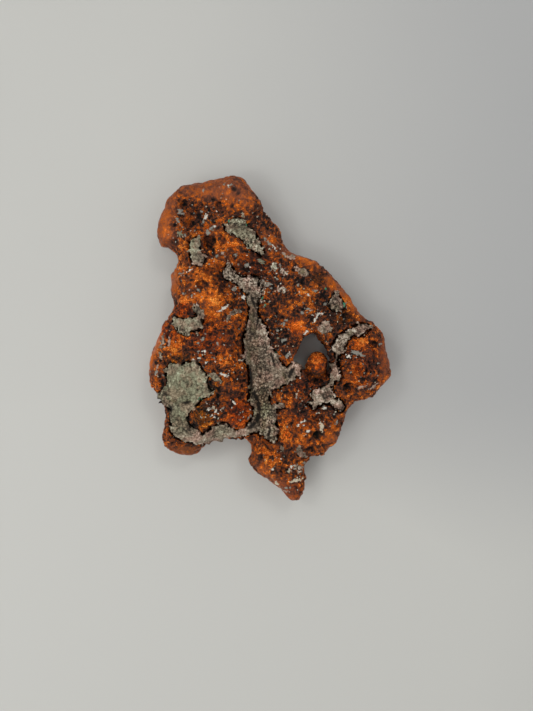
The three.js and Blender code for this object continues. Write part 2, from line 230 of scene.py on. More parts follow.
# Each place's middle in x and y, its reach along and across, its turn, and its strength where it isn't 1.
SPOTS = {
    # Bright places are rubbed metal, and also painted highlights, such as glints along the rims and on the
    # right lobe.
    Tone.BRIGHT: ovals(
        (-17.3, 15.0, 3.4, 2.6, 10), (-14.6, 9.8, 4.6, 2.3, -70), (-18.4, 10.4, 2.6, 1.4, 20, 0.7),
        (-14.6, 19.4, 2.6, 1.8, 10, 0.8), (-12.4, 25.6, 3.0, 2.4, 20), (-8.6, 24.8, 2.0, 1.6, 0, 0.6),
        (-12.0, 32.5, 2.6, 2.6, 0, 0.5), (-21.0, 30.0, 2.0, 3.4, 0, 0.5),
        # This row includes painted highlights on the neck's left rim and glints further down it.
        (-23.0, 25.6, 2.2, 1.8, 60, 0.7), (-23.4, 17.8, 3.2, 1.4, 72, 0.7), (-21.6, 10.0, 3.0, 1.2, 25),
        (-10.2, 10.6, 1.2, 0.9), (-8.6, 5.6, 2.0, 1.2, 0, 0.7), (-14.0, 3.0, 4.2, 0.9, 30, 0.6),
        (-12.6, -1.4, 2.2, 1.2, -40, 0.4), (-25.0, -2.6, 3.2, 1.9, 70),
        (-30.5, -3.0, 6.0, 1.1, 72, 0.7), (-11.6, -5.6, 3.0, 2.3, -30),
        (-11.2, -12.2, 2.4, 1.6, -50, 0.45), (-8.4, -22.0, 2.0, 1.3, 30, 0.9),
        (-6.4, -18.8, 1.3, 2.0, 0, 0.6), (-18.5, -19.0, 1.2, 2.6, 0, 0.3), (9.5, 11.4, 3.8, 1.6, 15),
        (5.2, 8.2, 3.2, 1.5, 40, 0.8), (6.8, 3.2, 2.6, 2.1), (10.6, 7.6, 1.8, 1.2, 0, 0.6),
        (8.8, 20.6, 3.4, 0.9, -25, 0.7), (15.5, 14.6, 2.6, 1.4, -45, 0.5),
        (21.0, 8.8, 3.8, 1.2, -55, 0.8), (-0.2, 26.2, 2.4, 1.6, -40, 0.4),
        # This row starts with the painted highlight on the lit top of the knob by the hole.
        (12.6, -5.2, 2.8, 2.0, 0, 1.1), (-0.4, -31.8, 3.2, 2.6), (-0.6, -31.0, 5.0, 3.6, -50, 0.6),
        (-24.0, 17.0, 3.2, 5.0, 0, 0.5), (-28.5, 31.0, 2.2, 6.0, 0, 0.2),
        (22.2, -7.4, 3.0, 1.5, 20, 0.8), (21.4, -9.8, 2.6, 0.9, -20, 0.7),
        (23.6, -1.2, 2.4, 1.2, 10, 0.8), (29.8, -11.4, 2.6, 1.0, 35, 0.7),
        (18.0, -15.0, 1.6, 1.1, 0, 0.8), (4.4, -17.5, 1.6, 1.2, 0, 0.6),
        (4.0, -22.8, 4.4, 1.1, 85, 0.8), (4.2, -26.4, 1.8, 1.8, 0, 0.9), (7.4, -26.8, 1.6, 1.3, 0, 0.8),
        (-2.2, -26.6, 1.6, 1.0), (-2.4, -29.2, 1.8, 1.0, 60), (0.6, -31.0, 2.6, 1.3, -70, 0.8),
        (-1.2, -35.0, 4.4, 1.0, -45, 0.6), (15.6, -25.6, 2.0, 1.8, 0, 0.45),
    ),
    # Dark places are black oxide and pits, and also painted shade in the gaps round the knob by the hole and
    # at the olive knob's left edge.
    Tone.DARK: ovals(
        (-20.6, 29.4, 2.2, 1.6, 0, 0.4), (-17.0, 33.6, 3.4, 1.6, -20, 0.35),
        (-13.8, 34.6, 2.0, 1.2, 0, 0.35), (-9.0, 38.6, 1.4, 1.2, 0, 0.5), (-16.2, 25.2, 2.4, 1.0, -60),
        (-25.2, 25.2, 1.8, 0.9, 30, 0.8), (-3.2, 32.4, 2.2, 2.4), (-0.8, 29.6, 2.8, 1.2, -40),
        (-4.5, 19.0, 5.2, 3.2, -20, 0.8), (6.2, 5.4, 3.0, 1.0, 30, 0.6),
        (9.6, 13.6, 3.6, 0.8, -20, 0.6), (13.8, 9.8, 1.2, 3.4, 0, 0.8),
        (8.2, -12.6, 3.4, 1.8, -10, 0.8), (5.5, -14.2, 2.6, 1.6, -10, 0.8),
        (14.4, 5.4, 4.0, 3.0, 0, 0.9), (-9.0, -14.4, 2.6, 1.6, -40, 0.5),
        (-10.8, 1.6, 3.6, 3.4, 0, 0.35), (1.0, 15.4, 4.6, 3.4, -30, 0.9),
        (-11.6, 15.6, 2.6, 0.7, 80, 0.9), (-18.8, 13.2, 1.3, 1.1, 60, 0.8),
        (-16.0, 21.5, 4.0, 0.8, 8, 0.5), (-8.6, 9.0, 2.0, 1.6, 0, 0.6), (0.2, 4.6, 3.2, 4.4),
        (2.6, -1.4, 4.0, 3.2), (1.4, 9.4, 3.0, 2.4, 0, 0.9), (6.6, 6.4, 5.0, 1.2, 35, 0.7),
        (7.6, 14.6, 5.0, 1.4, -20, 0.7), (12.6, 15.4, 2.8, 1.3, -20), (19.4, 5.6, 2.0, 1.6, -50),
        # The last place in this row and the first and last in the next are painted shade in the gaps right of
        # and below the knob by the hole.
        (16.8, 2.0, 2.4, 1.4, 70, 0.9), (11.4, 5.2, 1.6, 1.8, 0, 0.6), (16.0, -7.0, 1.0, 4.0),
        (12.4, -11.8, 3.0, 1.4), (5.2, -11.6, 3.6, 2.4, -20, 0.7), (17.8, -7.5, 1.0, 2.8, 0, 0.8),
        (19.8, -12.9, 1.3, 0.8), (27.0, -1.6, 1.0, 0.9), (26.5, -6.0, 3.0, 3.6, 0, 0.45),
        (24.4, -13.2, 3.0, 1.2, 10, 0.7), (14.0, -18.6, 3.4, 1.0, -10, 0.9),
        (12.1, -25.4, 0.8, 0.75, 0, 2.4), (-16.7, 13.9, 0.95, 0.8, 0, 3.4),
        (12.3, -21.2, 1.3, 1.1, 0, 0.9), (10.3, -29.0, 1.3, 1.2), (7.0, -19.4, 3.2, 2.0, 0, 0.5),
        (-2.8, -31.7, 1.9, 1.7, 0, 0.9), (3.8, -30.8, 2.6, 2.1, 60), (3.4, -34.6, 2.2, 1.3, 0, 0.6),
        (-7.3, -10.4, 2.2, 2.2, 0, 0.9), (-14.6, -14.0, 1.6, 2.4, 30, 0.8),
        # This row starts with painted shade along the olive knob's left edge.
        (-21.4, -21.6, 1.0, 3.2, 20), (-17.5, -24.4, 3.0, 1.0, 20, 0.8),
        (-28.4, -11.2, 1.1, 2.6, 0, 0.9), (-29.6, -17.0, 0.8, 2.4, 0, 0.9),
        (-14.6, -3.4, 2.6, 3.4, 0, 0.5), (-26.8, -5.8, 3.6, 1.0, 10, 0.6), (-17.2, 2.0, 0.9, 2.6, 15),
        (-25.8, 9.6, 1.2, 2.2, 0, 0.5), (2.2, -0.6, 3.6, 3.2, 0, 1.3), (-15.5, -1.0, 5.5, 5.0, 0, 0.3),
        (7.0, 10.5, 4.5, 3.6, 0, 0.3),
    ),
    Tone.RED: ovals(
        (-22.8, 7.2, 2.6, 2.4), (-28.0, 1.4, 3.2, 4.4, 70, 0.8), (-16.0, -0.6, 6.0, 4.6, 0, 0.8),
        (-8.2, -19.4, 3.6, 4.6), (6.4, 2.6, 2.6, 2.0, 0, 0.7), (24.5, -6.0, 6.0, 6.0, 0, 0.5),
        (8.6, -20.0, 5.0, 4.0, 0, 0.4), (-4.0, 19.0, 5.0, 3.6, 0, 0.5), (8.5, -12.4, 3.6, 2.2, 0, 0.7),
        (5.0, -40.5, 4.0, 3.6, 0, 0.35), (12.6, -6.6, 3.0, 3.0, 0, 0.6),
    ),
    Tone.OLIVE: ovals(
        (12.1, -25.4, 1.0, 0.9), (-17.8, -20.4, 3.0, 3.8), (-23.8, -5.6, 4.0, 1.4, 10, 0.7),
        (-15.2, -13.0, 2.0, 2.4, 0, 0.6), (12.4, -9.4, 2.0, 1.0, 0, 0.4), (19.0, 5.4, 2.0, 1.6, 0, 0.8),
        (12.6, 15.6, 2.2, 1.2, 0, 0.6), (-22.0, -29.6, 3.0, 1.4, 0, 0.6),
    ),
    Tone.SMOOTH: ovals(
        (-15.5, 40.4, 13.0, 4.2, 9), (-28.0, 33.0, 9.0, 3.4, 72), (-9.0, 39.0, 7.0, 5.2, -55),
        (-28.0, 26.5, 3.5, 3.5), (-17.0, 11.5, 5.0, 3.6, -60, 0.45), (-26.0, 15.0, 6.0, 1.8, 88),
        (-31.5, -5.0, 8.0, 1.6, 75), (-23.0, -30.5, 6.0, 2.0, -5), (0.0, 25.5, 3.4, 2.2, -40, 0.6),
        (7.5, 21.5, 6.0, 1.8, -30), (20.0, 11.0, 7.5, 1.8, -48), (30.5, -4.0, 7.5, 2.0, 85),
        (15.6, -26.0, 2.6, 2.4, 0, 0.7), (4.5, -41.0, 5.5, 3.2, -40), (-3.0, -33.5, 6.0, 2.0, -52, 0.6),
        (6.8, 3.0, 2.4, 2.2, 0, 0.6),
    ),
}

# Each small pit's middle in x and y, and its reach.
PITS = [
    (-22.6, 35.4, 0.6),
    (-20.6, 35.3, 0.5),
    (-18.6, 34.6, 0.7),
    (-19.9, 33.7, 0.6),
    (-19.2, 32.5, 0.6),
    (-20.9, 30.4, 1.0),
    (-22.9, 32.0, 0.5),
    (-18.2, 31.6, 0.5),
    (-16.7, 33.4, 0.6),
    (-15.2, 36.5, 0.6),
    (-15.7, 32.3, 0.5),
    (-15.1, 30.7, 0.6),
    (-13.6, 35.4, 0.5),
    (-10.2, 34.6, 0.5),
    (-9.4, 38.9, 0.8),
    (-8.4, 37.8, 0.5),
    (-24.9, 29.6, 0.5),
    (-15.5, 25.6, 0.9),
    (-3.3, 32.6, 1.3),
    (-12.9, 16.6, 0.8),
    (-15.6, 16.8, 0.5),
    (-20.5, 11.0, 0.5),
    (-18.0, 12.2, 0.5),
    (19.8, -12.7, 0.9),
    (24.6, -8.6, 0.7),
    (23.0, -10.4, 0.5),
    (26.8, -6.2, 0.5),
    (22.4, -5.0, 0.5),
    (27.6, -11.0, 0.6),
    (28.6, -2.0, 0.5),
    (21.0, -15.6, 0.5),
    (5.0, -22.6, 0.5),
    (9.2, -17.4, 0.6),
    (2.8, -28.6, 0.7),
    (-2.8, -31.4, 1.1),
    (10.4, -29.2, 0.9),
]
SPOTS[Tone.DARK] += [pit(*place) for place in PITS]

ROCK_HUES = {
    Hue.MOSS: ovals(
        (-22.5, -12.5, 9.0, 8.0), (-23.5, -20.6, 5.0, 3.4, 90), (-13.0, -24.6, 2.2, 1.8, 20, 0.5),
        (-8.0, 28.0, 9.0, 4.0, -55, 0.6), (-1.0, -21.0, 1.6, 5.0, 0, 0.4),
        (-20.5, 24.5, 3.0, 5.0, 0, 0.5), (-22.5, 4.5, 5.0, 4.0, 0, 0.6), (0.8, 18.6, 1.6, 1.6, 0, 0.4),
        (8.2, 17.2, 1.0, 1.0, 0, 0.7),
    ),
    Hue.MURK: ovals(
        (-4.2, -2.6, 1.3, 4.4, 0, 0.6), (-3.4, -9.4, 1.7, 4.6, 0, 0.5), (-5.4, -13.5, 0.9, 4.6, 0, 0.9),
        (-3.8, -20.4, 1.0, 2.6, 20, 0.9), (0.6, -26.0, 1.0, 1.6, 0, 0.6),
        (-2.2, -17.0, 2.6, 5.4, 0, 0.9), (-1.8, -22.6, 0.8, 3.4, -10, 0.9),
        (0.9, -24.0, 0.5, 1.2, 30, 0.9), (-4.9, 5.8, 0.7, 3.6, 0, 0.8), (-6.2, 9.6, 0.5, 2.2, 10, 0.8),
        (-6.6, 0.6, 0.5, 2.6, 10, 0.7), (3.7, -10.2, 1.7, 0.45, -68), (2.0, -13.4, 2.4, 0.5, 35, 0.8),
        (0.4, -16.4, 1.8, 0.5, 50, 0.7), (-5.6, -4.6, 0.7, 3.6, 0, 0.9), (-4.6, 2.6, 1.0, 1.2, 0, 0.9),
        (-2.4, -12.6, 2.6, 1.0, 80, 0.7), (20.6, 1.2, 1.0, 0.5, 30, 0.9),
        (-20.6, 24.6, 1.0, 2.2, 10, 0.5), (-27.2, -10.4, 1.0, 0.5, 20, 0.8),
        (-25.6, -16.6, 1.6, 0.4, -20, 0.8), (-21.8, -16.4, 1.2, 0.4, 10, 0.6),
        (-27.0, -20.0, 0.6, 2.4, 0, 0.7), (17.0, 8.2, 1.6, 1.0, 0, 0.5), (8.3, 17.1, 0.6, 0.5, 0, 0.9),
    ),
    # Dark slits are cracks in the rock; those down the left side of the seam's groove are partly painted
    # shade.
    Hue.SLIT: ovals(
        (-1.5, -13.8, 1.9, 1.7, 0, 0.12), (14.3, -15.0, 1.5, 1.3, 0, 0.5),
        (-4.1, -15.2, 1.8, 0.45, -60), (-3.1, -18.2, 1.8, 0.5, -82), (-3.3, -20.8, 1.6, 0.5, 74),
        (-4.9, -22.9, 1.4, 0.45, 38), (-5.2, -10.8, 3.6, 0.4, -84), (5.4, -9.0, 1.4, 0.45, 63),
        (21.3, -0.2, 2.4, 0.4, 43), (0.7, -6.0, 2.2, 0.3, -75, 0.8), (-0.4, -25.0, 1.4, 0.3, 80, 0.9),
        (-27.6, -14.6, 1.3, 0.4, -20, 0.5), (-22.0, -16.9, 0.9, 0.35, 10),
        (-26.4, -18.6, 0.5, 0.9, 0, 0.9), (-26.8, -21.6, 0.5, 1.2, 10, 0.9),
        (-4.6, 9.6, 0.3, 1.6, 20, 0.8), (-3.4, 4.6, 0.3, 2.0, -10, 0.8),
    ),
    Hue.PALE: ovals(
        (14.3, -15.0, 5.0, 4.0, 0, 0.9), (1.6, -9.0, 2.6, 2.2, 20, 0.5), (7.0, -7.6, 2.0, 2.0, 0, 0.5),
        (-5.6, 13.6, 4.4, 1.6, -40, 0.7), (-10.6, 17.6, 2.6, 2.0, -40, 0.6),
        (-22.0, -11.5, 7.0, 6.0, 0, 0.6), (-20.5, 24.5, 2.0, 3.6, 0, 0.9),
        (-22.5, 4.5, 4.0, 3.0, 0, 0.6), (5.6, -8.4, 4.0, 1.8, 20, 0.5), (-1.2, 1.6, 0.7, 3.4, 20),
        (0.4, -2.6, 0.6, 2.2, 30), (18.5, -0.6, 4.6, 1.2, 40), (16.8, -8.6, 1.4, 4.0, 0, 0.7),
        (24.0, 1.0, 3.4, 1.4, -10, 0.4), (-9.4, -25.6, 6.0, 1.8), (-20.0, -27.2, 5.6, 2.0),
        (1.0, 18.6, 1.8, 1.8), (3.4, 17.2, 1.8, 1.8), (2.9, 12.6, 1.8, 1.8),
        (4.0, 21.6, 3.0, 1.2, -20, 0.5), (14.0, 3.0, 2.4, 2.0, 0, 0.6),
    ),
    Hue.SUGAR: ovals(
        (-9.6, 17.0, 3.4, 2.6, -40), (-4.0, 15.4, 3.0, 2.4, -20), (-2.2, 11.6, 1.8, 4.0),
        (-2.6, 6.0, 0.9, 3.6, 0, 0.7), (-5.0, 24.6, 1.8, 4.0, 25, 0.8), (-9.2, 30.6, 3.0, 1.2, 0, 0.8),
        (1.0, 18.6, 2.2, 2.2, 0, 0.7), (3.4, 17.2, 2.2, 2.2, 0, 0.7), (2.9, 12.6, 2.2, 2.2, 0, 0.9),
        (-0.6, -22.4, 2.4, 4.6), (-2.4, -14.6, 3.0, 7.0, 0, 0.7), (-2.6, -4.0, 4.0, 6.0, 0, 0.4),
        (14.4, -14.8, 3.6, 2.6, 0, 0.2), (19.0, 0.0, 6.0, 2.0, 40, 0.5), (17.0, 9.0, 2.6, 3.6, 0, 0.5),
        (7.2, -34.4, 2.4, 1.8),
    ),
}


@dataclass(frozen=True)
class Push:
    """A place on the rim that is bitten in, or on a knob that is swollen, seen from above.

    Args:
        x: Its middle, which lies off the metal for a bite.
        y: Its middle.
        reach: How far it is felt.
        by: How far the metal next to the middle is moved away from it.
        calm: How near the middle the movement starts to fade to nothing.
    """

    x: float
    y: float
    reach: float
    by: float
    calm: float = 0.8

    def shift(self, points: np.ndarray) -> np.ndarray:
        """How far each point is moved sideways.

        Args:
            points: Points in millimetres, one row each.

        Returns:
            A movement in x, y and z for each point.
        """
        away = points - np.array((self.x, self.y, 0.0))
        away[:, 2] = 0
        far = np.maximum(np.linalg.norm(away, axis=1), 0.05)
        amount = self.by * np.exp(-((far / self.reach) ** 2)) * np.clip(far / self.calm, 0, 1)
        return away * (amount / far)[:, None]


PUSHES = [
    Push(-11.2, -30.6, 3.0, 5.0),
    Push(-8.2, -29.4, 1.9, 2.2),
    Push(31.8, 5.6, 3.0, 2.4),
    Push(24.6, -20.2, 3.0, 2.2),
    Push(12.6, -35.2, 2.8, 2.3),
    Push(12.8, -43.0, 3.0, 1.2),
    Push(1.0, -43.6, 3.0, 1.6),
    Push(-31.4, -24.0, 2.6, 0.8),
    Push(-13.6, -30.8, 2.2, 0.9),
    Push(-30.0, 14.5, 5.0, 0.8),
    Push(-1.2, 41.4, 3.6, 1.4),
    Push(-28.6, 21.0, 2.6, 1.0),
    Push(22.2, -26.4, 3.4, 1.2),
    Push(4.6, -1.6, 3.4, 1.2),
    Push(12.4, -7.0, 3.4, 1.0),
]

# The ledge of the seam shows its side where it breaks through the left rim.
LEDGE_SWELL = Push(-27.1, -14.9, 3.2, 1.0)


@dataclass(frozen=True)
class Fleck:
    """A grain of rock on the upper face of the copper.

    Args:
        grain: The mineral.
        x: Its middle.
        y: Its middle.
        long: Its length.
        wide: Its width.
        turn: The direction of its length, in degrees from x.
    """

    grain: Grain
    x: float
    y: float
    long: float
    wide: float
    turn: float = 0.0

    def reach(self) -> tuple[float, float, float, float]:
        """The least and greatest x and y that it may cover."""
        half = self.long / 2 + 0.5
        return self.x - half, self.y - half, self.x + half, self.y + half

    def depth(self, x: float, y: float) -> float:
        """How far inside its ragged oval a point is.

        Args:
            x: The point.
            y: The point.

        Returns:
            The distance to its edge, negative outside it.
        """
        along, across = turned(x - self.x, y - self.y, self.turn)
        far = math.hypot(along / (self.long / 2), across / (self.wide / 2))
        small = min(self.long, self.wide) / 2
        ragged = torn(x, y, size=0.55, layer=3.0, fade=0.7)
        return (1.0 - far) * small + ragged * (0.16 + 0.75 * small)


# Each fleck's middle in x and y, length, width and turn.
FLECKS = {
    Grain.WHITE: [
        (-12.5, 7.5, 2.3, 0.8, 35), (-7.1, 10.9, 1.6, 1.1, -25), (-6.4, 10.2, 0.8, 0.7, 80),
        (-10.9, 8.7, 0.6, 0.4, 30), (-6.5, 3.4, 0.8, 0.6, 50), (-12.0, -9.5, 1.7, 0.9, -10),
        (-11.3, -9.9, 0.7, 0.5, 0), (-7.2, -5.9, 0.6, 0.4, 30), (-18.5, -5.3, 0.8, 0.6, 20),
        (-17.1, -3.5, 0.8, 0.6, 0), (-16.7, -6.4, 0.6, 0.4, 0), (-9.6, -16.9, 1.3, 0.4, -45),
        (-15.8, -18.4, 1.0, 0.7, 20), (-14.4, -19.2, 0.9, 0.5, 60), (-14.6, -20.6, 0.5, 0.4, 0),
        (-17.1, 32.2, 1.4, 0.9, 60), (-14.8, 29.4, 0.8, 0.5, 20), (-20.8, 17.6, 0.7, 0.5, 60),
        (0.9, 23.6, 1.3, 0.4, -60), (9.7, 11.1, 1.1, 0.4, -30), (12.5, 6.2, 2.0, 0.5, 10),
        (11.7, 5.0, 2.2, 0.5, 75), (9.2, 1.5, 1.4, 0.7, 30), (20.3, -4.9, 1.1, 0.9, -30),
        (14.1, -18.2, 1.0, 0.9, 0), (7.9, -21.8, 0.7, 0.5, 0), (8.8, -21.4, 0.6, 0.5, 0),
        (7.3, -22.7, 0.7, 0.5, 40), (8.6, -22.6, 0.6, 0.5, 0), (9.8, -24.2, 0.8, 0.6, 30),
        (0.4, -33.9, 0.9, 0.7, 60), (5.4, -33.6, 1.1, 0.8, 60),
    ],
    Grain.CREAM: [
        (-8.2, -5.8, 0.8, 0.5, 0), (-14.9, -18.3, 1.1, 0.8, -30), (13.3, -23.2, 2.4, 1.0, 85),
        (6.6, -37.5, 3.0, 0.8, 12), (1.7, -38.5, 1.5, 0.8, -50), (5.0, -34.9, 1.1, 0.8, 40),
    ],
    Grain.PINK: [
        (-26.4, -1.0, 1.9, 0.7, 80), (-12.6, 22.3, 1.0, 0.6, 30), (23.4, -12.8, 1.7, 0.8, 15),
        (26.8, -12.7, 2.0, 0.8, 30), (3.6, -40.6, 2.6, 0.8, -8), (2.8, -41.2, 1.2, 0.5, 0),
        (-29.6, -7.6, 1.0, 0.6, 60),
    ],
    Grain.GREY: [
        (-9.7, 12.9, 0.9, 0.8, 60), (-19.8, -6.0, 1.2, 0.6, -30), (-18.5, -3.5, 0.7, 0.5, 40),
        (-17.4, -0.4, 1.4, 0.7, 40), (-18.6, -1.4, 0.6, 0.4, 0), (-13.7, -1.5, 0.9, 0.6, 90),
        (-17.8, -7.4, 0.9, 0.6, -30), (-15.4, -20.2, 0.6, 0.5, 0), (-12.4, -18.5, 0.6, 0.5, 0),
        (-23.6, 33.2, 1.6, 1.3, -30), (-24.3, 30.8, 1.9, 0.8, -60), (-17.8, 30.8, 0.9, 0.7, 0),
        (-18.2, 33.6, 0.7, 0.5, 0), (-17.7, 39.0, 0.9, 0.6, 80), (-10.4, 39.9, 0.9, 0.6, 0),
        (-12.2, 40.4, 0.6, 0.5, 0), (-15.7, 28.9, 2.2, 0.8, 30), (-16.4, 27.6, 1.4, 0.8, -20),
        (-22.6, 27.0, 1.0, 0.5, -50), (-14.2, 21.6, 1.0, 0.7, 50), (-9.3, 22.0, 0.8, 0.6, 0),
        (-22.6, 17.1, 1.0, 0.7, 0), (-23.8, 17.0, 0.7, 0.5, 0), (-20.9, 18.4, 0.6, 0.4, 0),
        (-18.5, 12.2, 0.9, 0.5, -40), (-22.4, 11.6, 0.7, 0.5, 0), (-20.3, 10.8, 0.5, 0.8, 0),
        (-6.3, 19.4, 1.4, 1.1, 40), (-8.7, 19.7, 0.6, 0.5, 0), (-0.4, 24.9, 1.6, 0.8, -50),
        (-1.5, 26.0, 0.8, 0.6, 0), (-0.5, 14.1, 1.2, 0.9, 10), (0.2, 13.2, 0.6, 0.5, 0),
        (1.6, 15.4, 0.7, 0.5, 0), (-2.4, 13.0, 1.4, 0.9, 60), (-2.3, 15.0, 1.2, 1.0, 0),
        (7.2, 13.7, 0.7, 0.6, 0), (11.6, 12.2, 0.9, 0.7, 0), (8.2, 6.4, 0.8, 0.8, 0),
        (9.6, 7.4, 1.2, 0.5, -20), (14.2, 8.9, 1.0, 0.6, 20), (3.4, 3.6, 1.1, 0.8, 60),
        (4.1, 4.6, 0.8, 0.6, 0), (3.4, -0.6, 1.6, 0.8, 20), (5.0, -4.2, 1.2, 0.8, 0),
        (4.2, -5.0, 1.0, 0.6, -40), (1.8, 2.0, 0.7, 0.5, 0), (-0.6, 5.0, 0.6, 0.5, 0),
        (22.4, -3.9, 3.0, 1.1, -12), (23.6, -4.4, 1.4, 0.6, -30), (28.9, -1.6, 0.9, 0.5, 20),
        (28.1, -6.6, 0.6, 0.4, 0), (17.3, -22.3, 0.8, 0.7, 0), (6.6, -15.2, 0.8, 0.6, 60),
        (9.6, -16.8, 0.6, 0.5, 0), (16.5, -20.0, 0.7, 0.4, 0), (4.4, -39.5, 1.6, 0.6, 12),
        (8.9, -33.2, 0.9, 0.6, 0), (-30.0, -9.0, 1.3, 0.8, 70), (-8.0, -21.3, 0.5, 0.4, 0),
        (-5.6, -20.9, 1.6, 0.7, 40),
    ],
    Grain.MOSS: [
        (-23.8, 27.4, 1.5, 1.0, -60), (-2.4, 19.8, 1.7, 1.0, -35), (2.0, 0.0, 0.7, 0.5, 0),
    ],
    Grain.GREEN: [
        (-18.5, -16.0, 1.1, 1.0, 0), (-10.8, 30.6, 0.6, 0.5, 0), (-6.6, 30.2, 0.5, 0.9, 20),
        (-4.1, 27.0, 0.5, 0.9, 10), (-3.2, 25.2, 0.5, 0.7, 10), (-8.4, 17.0, 0.5, 0.4, 0),
        (-2.0, 10.6, 0.5, 0.8, 0), (-1.4, 8.6, 0.4, 0.6, 0), (1.2, -21.6, 0.6, 0.9, 0),
        (19.3, 8.8, 0.4, 0.9, 0), (14.4, 12.9, 0.4, 0.6, 30), (1.4, -3.6, 0.5, 0.4, 0),
        (0.8, -22.3, 0.8, 1.0, 0),
    ],
}


@dataclass(frozen=True)
class Cloud:
    """A round place that is strewn with small unnamed grains.

    Args:
        x: Its middle.
        y: Its middle.
        reach: Its radius.
        count: How many grains it has.
    """

    x: float
    y: float
    reach: float
    count: int


DUST = [
    Cloud(-19.5, 31.5, 6.0, 42),
    Cloud(-11.0, 38.5, 4.0, 14),
    Cloud(-3.5, 31.0, 3.4, 16),
    Cloud(-24.5, 26.5, 2.6, 12),
    Cloud(-13.5, 22.0, 4.0, 16),
    Cloud(-22.5, 17.2, 2.6, 16),
    Cloud(-20.0, 11.5, 3.0, 14),
    Cloud(-9.0, 12.5, 2.6, 22),
    Cloud(-6.2, 19.5, 4.5, 26),
    Cloud(0.5, 15.5, 4.2, 46),
    Cloud(-1.6, 10.5, 2.2, 24),
    Cloud(0.6, 24.6, 3.0, 16),
    Cloud(8.0, 11.0, 5.0, 26),
    Cloud(10.0, 5.5, 3.4, 20),
    Cloud(1.8, 2.8, 3.4, 26),
    Cloud(3.0, -3.0, 3.2, 24),
    Cloud(17.0, 4.8, 2.8, 12),
    Cloud(-12.5, -1.5, 6.0, 22),
    Cloud(-17.5, -4.5, 3.5, 14),
    Cloud(-8.5, -8.0, 3.0, 8),
    Cloud(-28.0, -1.0, 4.0, 14),
    Cloud(-29.5, -8.5, 2.4, 10),
    Cloud(-15.5, -19.5, 3.4, 26),
    Cloud(-8.0, -19.5, 3.2, 8),
    Cloud(23.5, -8.0, 6.0, 28),
    Cloud(7.0, -14.5, 4.5, 20),
    Cloud(9.0, -21.5, 5.0, 26),
    Cloud(15.0, -20.5, 3.0, 10),
    Cloud(1.5, -33.5, 4.5, 20),
    Cloud(5.5, -38.0, 3.5, 12),
]


@dataclass(frozen=True)
class Sheet:
    """A thin crust of rock that lies on the copper.

    Args:
        name: The name of its place.
        outline: Its outline seen from above.
        thick: How far it stands out of the copper.
    """

    name: str
    outline: tuple[tuple[float, float], ...]
    thick: float = 0.25

    def reach(self) -> tuple[float, float, float, float]:
        """The least and greatest x and y that it may cover."""
        corners = np.array(self.outline)
        low, high = corners.min(0) - 0.7, corners.max(0) + 0.7
        return low[0], low[1], high[0], high[1]

    def depth(self, x: float, y: float) -> float:
        """How far inside its ragged outline a point is.

        Args:
            x: The point.
            y: The point.

        Returns:
            The distance to its edge, negative outside it.
        """
        ragged = torn(x, y, size=0.7, layer=9.0, fade=0.6)
        return depth_inside(x, y, np.array(self.outline)) + 0.42 * ragged


